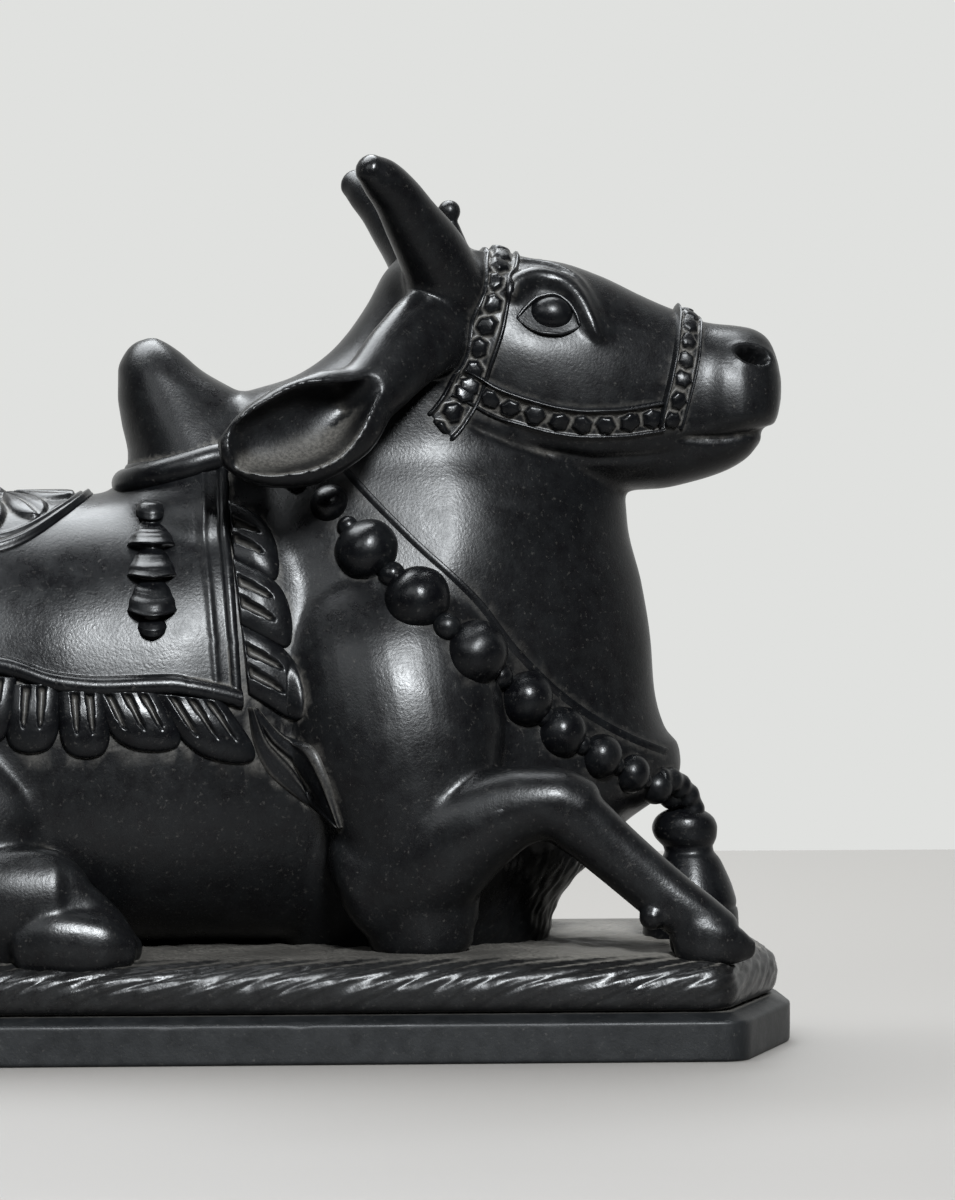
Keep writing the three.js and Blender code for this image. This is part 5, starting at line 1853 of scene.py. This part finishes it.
@dataclass(frozen=True)
class StoneFinish:
    """Fine black stone, carved and rubbed to a satin polish: dark, slightly mottled, with dust in its hollows."""

    name: str
    dark: str = "#030304"
    light: str = "#08090a"
    dust: str = "#605d58"
    smooth: float = 0.19
    rough: float = 0.33
    dust_rough: float = 0.8
    dust_amount: float = 0.85
    speck_mm: float = 1.1
    fleck_mm: float = 1.3
    mottle_mm: float = 5.0
    grain_mm: float = 0.8
    scratch_mm: float = 0.9
    bump_mm: float = 0.1
    bump_strength: float = 0.45
    ior: float = 1.25

    def material(self) -> bpy.types.Material:
        """Builds the finish as shader nodes on Object coordinates and the piece's own dust attribute.

        Returns:
            The material.
        """
        made = bpy.data.materials.new(self.name)
        made.use_nodes = True
        tree = made.node_tree
        tree.nodes.clear()
        place = node(tree, "ShaderNodeTexCoord").outputs["Object"]
        mottle = node(tree, "ShaderNodeTexNoise", {
            "Vector": place, "Scale": METRE / self.mottle_mm, "Detail": 5.0, "Roughness": 0.62}).outputs["Fac"]
        clouds = node(tree, "ShaderNodeTexNoise", {
            "Vector": place, "Scale": METRE / (7 * self.mottle_mm), "Detail": 3.0}).outputs["Fac"]
        grain = node(tree, "ShaderNodeTexNoise", {
            "Vector": place, "Scale": METRE / self.grain_mm, "Detail": 2.0}).outputs["Fac"]
        combed = node(tree, "ShaderNodeMapping", {
            "Vector": place, "Rotation": (0.3, 0.5, 0.8), "Scale": (1.0, 0.09, 1.0)}).outputs["Vector"]
        scratch = node(tree, "ShaderNodeTexNoise", {
            "Vector": combed, "Scale": METRE / self.scratch_mm, "Detail": 3.0, "Roughness": 0.7}).outputs["Fac"]
        tone = node(tree, "ShaderNodeMapRange", {
            "Value": mottle, "From Min": 0.32, "From Max": 0.74}).outputs["Result"]
        stone = node(tree, "ShaderNodeMix", {
            0: tone, 6: linear(self.dark), 7: linear(self.light)}, data_type="RGBA").outputs[2]
        gather = node(tree, "ShaderNodeAttribute", attribute_name="dust").outputs["Fac"]
        speck = node(tree, "ShaderNodeTexNoise", {
            "Vector": place, "Scale": METRE / self.speck_mm, "Detail": 6.0, "Roughness": 0.7}).outputs["Fac"]
        patch = node(tree, "ShaderNodeMapRange", {
            "Value": speck, "From Min": 0.38, "From Max": 0.62}).outputs["Result"]
        broken = node(tree, "ShaderNodeMath", {
            0: patch, 1: 0.55, 2: 0.45}, operation="MULTIPLY_ADD").outputs["Value"]
        settled = node(tree, "ShaderNodeMath", {0: gather, 1: broken}, operation="MULTIPLY").outputs["Value"]
        scatter = node(tree, "ShaderNodeTexNoise", {
            "Vector": place, "Scale": METRE / self.fleck_mm, "Detail": 3.0, "Roughness": 0.75}).outputs["Fac"]
        flecks = node(tree, "ShaderNodeMapRange", {
            "Value": scatter, "From Min": 0.6, "From Max": 0.8, "To Max": 0.2}).outputs["Result"]
        dusty = node(tree, "ShaderNodeMath", {0: settled, 1: flecks}, operation="ADD").outputs["Value"]
        amount = node(tree, "ShaderNodeMath", {
            0: dusty, 1: self.dust_amount}, operation="MULTIPLY", use_clamp=True).outputs["Value"]
        colour = node(tree, "ShaderNodeMix", {
            0: amount, 6: stone, 7: linear(self.dust)}, data_type="RGBA").outputs[2]
        worn = node(tree, "ShaderNodeMath", {
            0: mottle, 1: 0.6, 2: clouds}, operation="MULTIPLY_ADD").outputs["Value"]
        satin = node(tree, "ShaderNodeMapRange", {
            "Value": worn, "From Min": 0.6, "From Max": 1.0, "To Min": self.smooth,
            "To Max": self.rough}).outputs["Result"]
        dull = node(tree, "ShaderNodeMix", {0: amount, 2: satin, 3: self.dust_rough}, data_type="FLOAT").outputs[0]
        scuffed = node(tree, "ShaderNodeMath", {
            0: scratch, 1: 0.10, 2: dull}, operation="MULTIPLY_ADD").outputs["Value"]
        fine = node(tree, "ShaderNodeMath", {
            0: scratch, 1: 0.8, 2: grain}, operation="MULTIPLY_ADD").outputs["Value"]
        relief = node(tree, "ShaderNodeMath", {
            0: amount, 1: speck, 2: fine}, operation="MULTIPLY_ADD").outputs["Value"]
        pitted = node(tree, "ShaderNodeBump", {
            "Height": relief, "Strength": self.bump_strength, "Distance": self.bump_mm / METRE}).outputs["Normal"]
        shader = node(tree, "ShaderNodeBsdfPrincipled", {
            "Base Color": colour, "Roughness": scuffed, "Normal": pitted, "IOR": self.ior}).outputs["BSDF"]
        node(tree, "ShaderNodeOutputMaterial", {"Surface": shader})
        return made


# The figure and its plinth: dense black stone, rubbed with oil until it shines like satin.
BULL_STONE = StoneFinish("polished_black_stone")
# The slab: the same kind of stone, sawn and honed, so that it is greyer and duller.
SLAB_STONE = StoneFinish("honed_black_stone", dark="#08090a", light="#121314", smooth=0.36, rough=0.5,
                         dust_amount=0.8)


@dataclass(frozen=True)
class Dust:
    """The pale dust on a piece: in hollows, on what faces straight up, beside other pieces, and a thin film."""

    hollows: float = 1.0
    settled: float = 0.0
    film: float = 0.0
    reach: float = 0.9
    lying: Relief | None = None

    def lay(self, piece: bpy.types.Object, neighbours: Sequence[tuple[Ground, float]] = ()) -> None:
        """Writes how much dust lies at each vertex, which the stone's finish reads.

        The hollow at a vertex is the offset of its neighbours' mean along the normal over the mean edge's square,
        which is about 1 / (4 r) for a groove of radius r.

        Args:
            piece: the piece that gets the attribute.
            neighbours: other surfaces, each with the dust right beside it.
        """
        mesh = piece.data
        points, edges, normals = to_figure(coordinates(mesh)), edges_of(mesh), normals_of(mesh)
        offset = ((neighbour_mean(points, edges) - points) * normals).sum(-1)
        first, second = edges.T
        span = np.linalg.norm(points[first] - points[second], axis=1)
        count = np.bincount(edges.ravel(), minlength=len(points))
        spans = np.bincount(first, span, len(points)) + np.bincount(second, span, len(points))
        hollow = offset / np.maximum(spans / np.maximum(count, 1), 0.2) ** 2
        hollow = np.clip(hollow, -0.5, 0.5)[:, None]
        for _ in range(4):
            hollow = 0.4 * hollow + 0.6 * neighbour_mean(hollow, edges)
        dust = np.maximum(self.film + (self.hollows - self.film) * smoothstep(0.04, 0.22, hollow[:, 0]),
                          self.settled * smoothstep(0.93, 0.99, normals[:, 2]))
        if self.lying:
            dust = np.maximum(dust, self.lying(points, normals))
        for near, most in neighbours:
            dust = np.maximum(dust, most * (1 - smoothstep(0.3, self.reach, near.clearance(points))))
        store = mesh.attributes.new("dust", "FLOAT", "POINT")
        store.data.foreach_set("value", dust.astype(np.float32))


@dataclass(frozen=True)
class SoftBox:
    """A soft light: its place and its two sizes in metres, and its power in watts."""

    name: str
    place: tuple[float, float, float]
    size: tuple[float, float]
    power: float


@dataclass
class Studio:
    """The plain pale floor with a painted glow that grows towards the back, the soft lights and the camera at the
    photograph's viewing angle.
    """

    camera_at: tuple[float, float, float] = (-0.0232, -1.578, 0.1687)
    aimed_at: tuple[float, float, float] = (0.0937, 0.0, 0.1257)
    lens: float = 165.0
    backdrop: str = "#e0e1df"
    dim: str = "#1d1e1f"
    floor: str = "#575451"
    # Painted light: the floor glows with the backdrop's colour, from nothing at the glow's front edge to this strength
    # at the back.
    floor_painted_glow: float = 0.22
    painted_glow_front: float = -0.3
    dim_until: float = -0.15
    bright_from: float = 0.75
    floor_rough: float = 0.6
    floor_front: float = -0.36
    floor_back: float = 0.724
    floor_reach: float = 3.0
    light_tint: tuple[float, float, float] = (0.93, 0.97, 1.0)
    lights_aim: tuple[float, float, float] = (0.05, 0.0, 0.12)
    boxes: tuple[SoftBox, ...] = (
        SoftBox("key_box", (0.53, -2.60, 1.84), (0.46, 0.76), 345.0),
        SoftBox("top_box", (-0.2, 0.42, 1.35), (1.3, 0.9), 70.0),
        SoftBox("side_box", (-1.2, -1.7, 1.5), (1.1, 1.1), 21.0))

    def placed(self, name: str, data: bpy.types.ID, place: Sequence[float],
               aim: Sequence[float]) -> bpy.types.Object:
        """A camera or a light at a place, turned towards an aim.

        Args:
            name: its name.
            data: its data.
            place: where it stands.
            aim: the point that it looks at.

        Returns:
            The object.
        """
        made = bpy.data.objects.new(name, data)
        made.location = place
        made.rotation_euler = (Vector(aim) - Vector(place)).to_track_quat("-Z", "Y").to_euler()
        bpy.context.scene.collection.objects.link(made)
        return made

    def camera(self) -> None:
        """The camera that sees what the photograph shows, on a sensor 36 mm wide."""
        data = bpy.data.cameras.new("camera")
        data.lens = self.lens
        data.sensor_width = 36.0
        data.clip_end = 20.0
        bpy.context.scene.camera = self.placed("camera", data, self.camera_at, self.aimed_at)

    def light(self, box: SoftBox) -> None:
        """A soft box, aimed at the figure.

        Args:
            box: its sizes.
        """
        data = bpy.data.lights.new(box.name, "AREA")
        data.shape = "RECTANGLE"
        data.size, data.size_y = box.size
        data.energy = box.power
        data.color = self.light_tint
        self.placed(box.name, data, box.place, self.lights_aim)

    def surroundings(self) -> bpy.types.World:
        """A bright wall behind the figure that fades to a dim room in front of it, by the direction's y.

        Returns:
            The world.
        """
        world = bpy.data.worlds.new("surroundings")
        world.use_nodes = True
        tree = world.node_tree
        tree.nodes.clear()
        way = node(tree, "ShaderNodeSeparateXYZ", {
            0: node(tree, "ShaderNodeTexCoord").outputs["Generated"]}).outputs["Y"]
        share = node(tree, "ShaderNodeMapRange", {
            "Value": way, "From Min": self.dim_until, "From Max": self.bright_from},
            interpolation_type="SMOOTHSTEP").outputs["Result"]
        tone = node(tree, "ShaderNodeMix", {
            0: share, 6: linear(self.dim), 7: linear(self.backdrop)}, data_type="RGBA").outputs[2]
        light = node(tree, "ShaderNodeBackground", {"Color": tone, "Strength": 1.0}).outputs["Background"]
        node(tree, "ShaderNodeOutputWorld", {"Surface": light})
        return world

    def build(self) -> None:
        """The floor with its painted glow, the surroundings and the lights."""
        floor = bpy.data.meshes.new("floor")
        reach, front, back = self.floor_reach, self.floor_front, self.floor_back
        floor.from_pydata([(-reach, front, 0), (reach, front, 0), (reach, back, 0), (-reach, back, 0)],
                          [], [(0, 1, 2, 3)])
        ground = link("floor", floor)
        paper = bpy.data.materials.new("floor_paper_painted_glow")
        paper.use_nodes = True
        shader = paper.node_tree.nodes["Principled BSDF"]
        shader.inputs["Base Color"].default_value = linear(self.floor)
        shader.inputs["Roughness"].default_value = self.floor_rough
        # Painted light: the floor glows with the backdrop's colour, more towards the back.
        shader.inputs["Emission Color"].default_value = linear(self.backdrop)
        tree = paper.node_tree
        depth = node(tree, "ShaderNodeSeparateXYZ", {
            0: node(tree, "ShaderNodeTexCoord").outputs["Object"]}).outputs["Y"]
        painted_glow = node(tree, "ShaderNodeMapRange", {
            "Value": depth, "From Min": self.painted_glow_front, "From Max": self.floor_back, "To Min": 0.0,
            "To Max": self.floor_painted_glow}).outputs["Result"]
        tree.links.new(painted_glow, shader.inputs["Emission Strength"])
        floor.materials.append(paper)
        bpy.context.scene.world = self.surroundings()
        for box in self.boxes:
            self.light(box)
        bpy.context.scene.view_settings.view_transform = "Standard"


def main() -> None:
    """Builds the frame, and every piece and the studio."""
    logging.basicConfig(level=logging.INFO, format="%(message)s")
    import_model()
    studio = Studio()
    studio.camera()
    body = CarvedBody().build()
    log.info("carved_body: %d faces", len(body.data.polygons))
    ground = Ground(body)
    pieces = {
        "cloth": SaddleCloth(ground).build(),
        "fringe": Fringe(ground).build(),
        "tassels": Tassels(ground).build(),
        "medallion": Medallion(ground).build(),
        "halter": Halter(ground).build(),
        "eyes": Eyes(ground).build(),
        "garland": Garland(ground).build(),
        "bell": Bell().build(),
    }
    plinth, slab = Plinth().build(), Slab().build()
    bull_stone, slab_stone = BULL_STONE.material(), SLAB_STONE.material()
    # How much dust lies on the body beside each piece, and in the hollows of the piece itself.
    beside = {"cloth": 0.5, "fringe": 0.3, "tassels": 0.5, "medallion": 0.6, "garland": 0.12, "halter": 0.15}
    hollows = {"cloth": 0.5, "fringe": 0.35, "tassels": 0.5, "medallion": 0.6, "garland": 0.2, "halter": 0.45}
    for name, piece in pieces.items():
        Dust(hollows.get(name, 0.0)).lay(piece, [(ground, 0.4)] if name == "fringe" else [])
    Dust(0.4, film=0.01, reach=0.85, lying=CarvedBody.ear_dust).lay(
        body, [(Ground(pieces[name]), most) for name, most in beside.items()])
    # The plinth's dust, with painted shade on its top where the body shades it.
    Dust(0.25, film=0.03, lying=Plinth.top_dust_and_shade).lay(plinth)
    Dust(0.6, settled=0.5).lay(slab)
    for piece in (body, plinth, *pieces.values()):
        piece.data.materials.clear()
        piece.data.materials.append(bull_stone)
        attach(piece, BODY)
        log.info("%s: %d faces", piece.name, len(piece.data.polygons))
    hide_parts("nandi_bull")
    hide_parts("nandi_bull")
    slab.data.materials.clear()
    slab.data.materials.append(slab_stone)
    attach(slab, BODY)
    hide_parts("base_slab")
    studio.build()


if __name__ == "__main__":
    main()
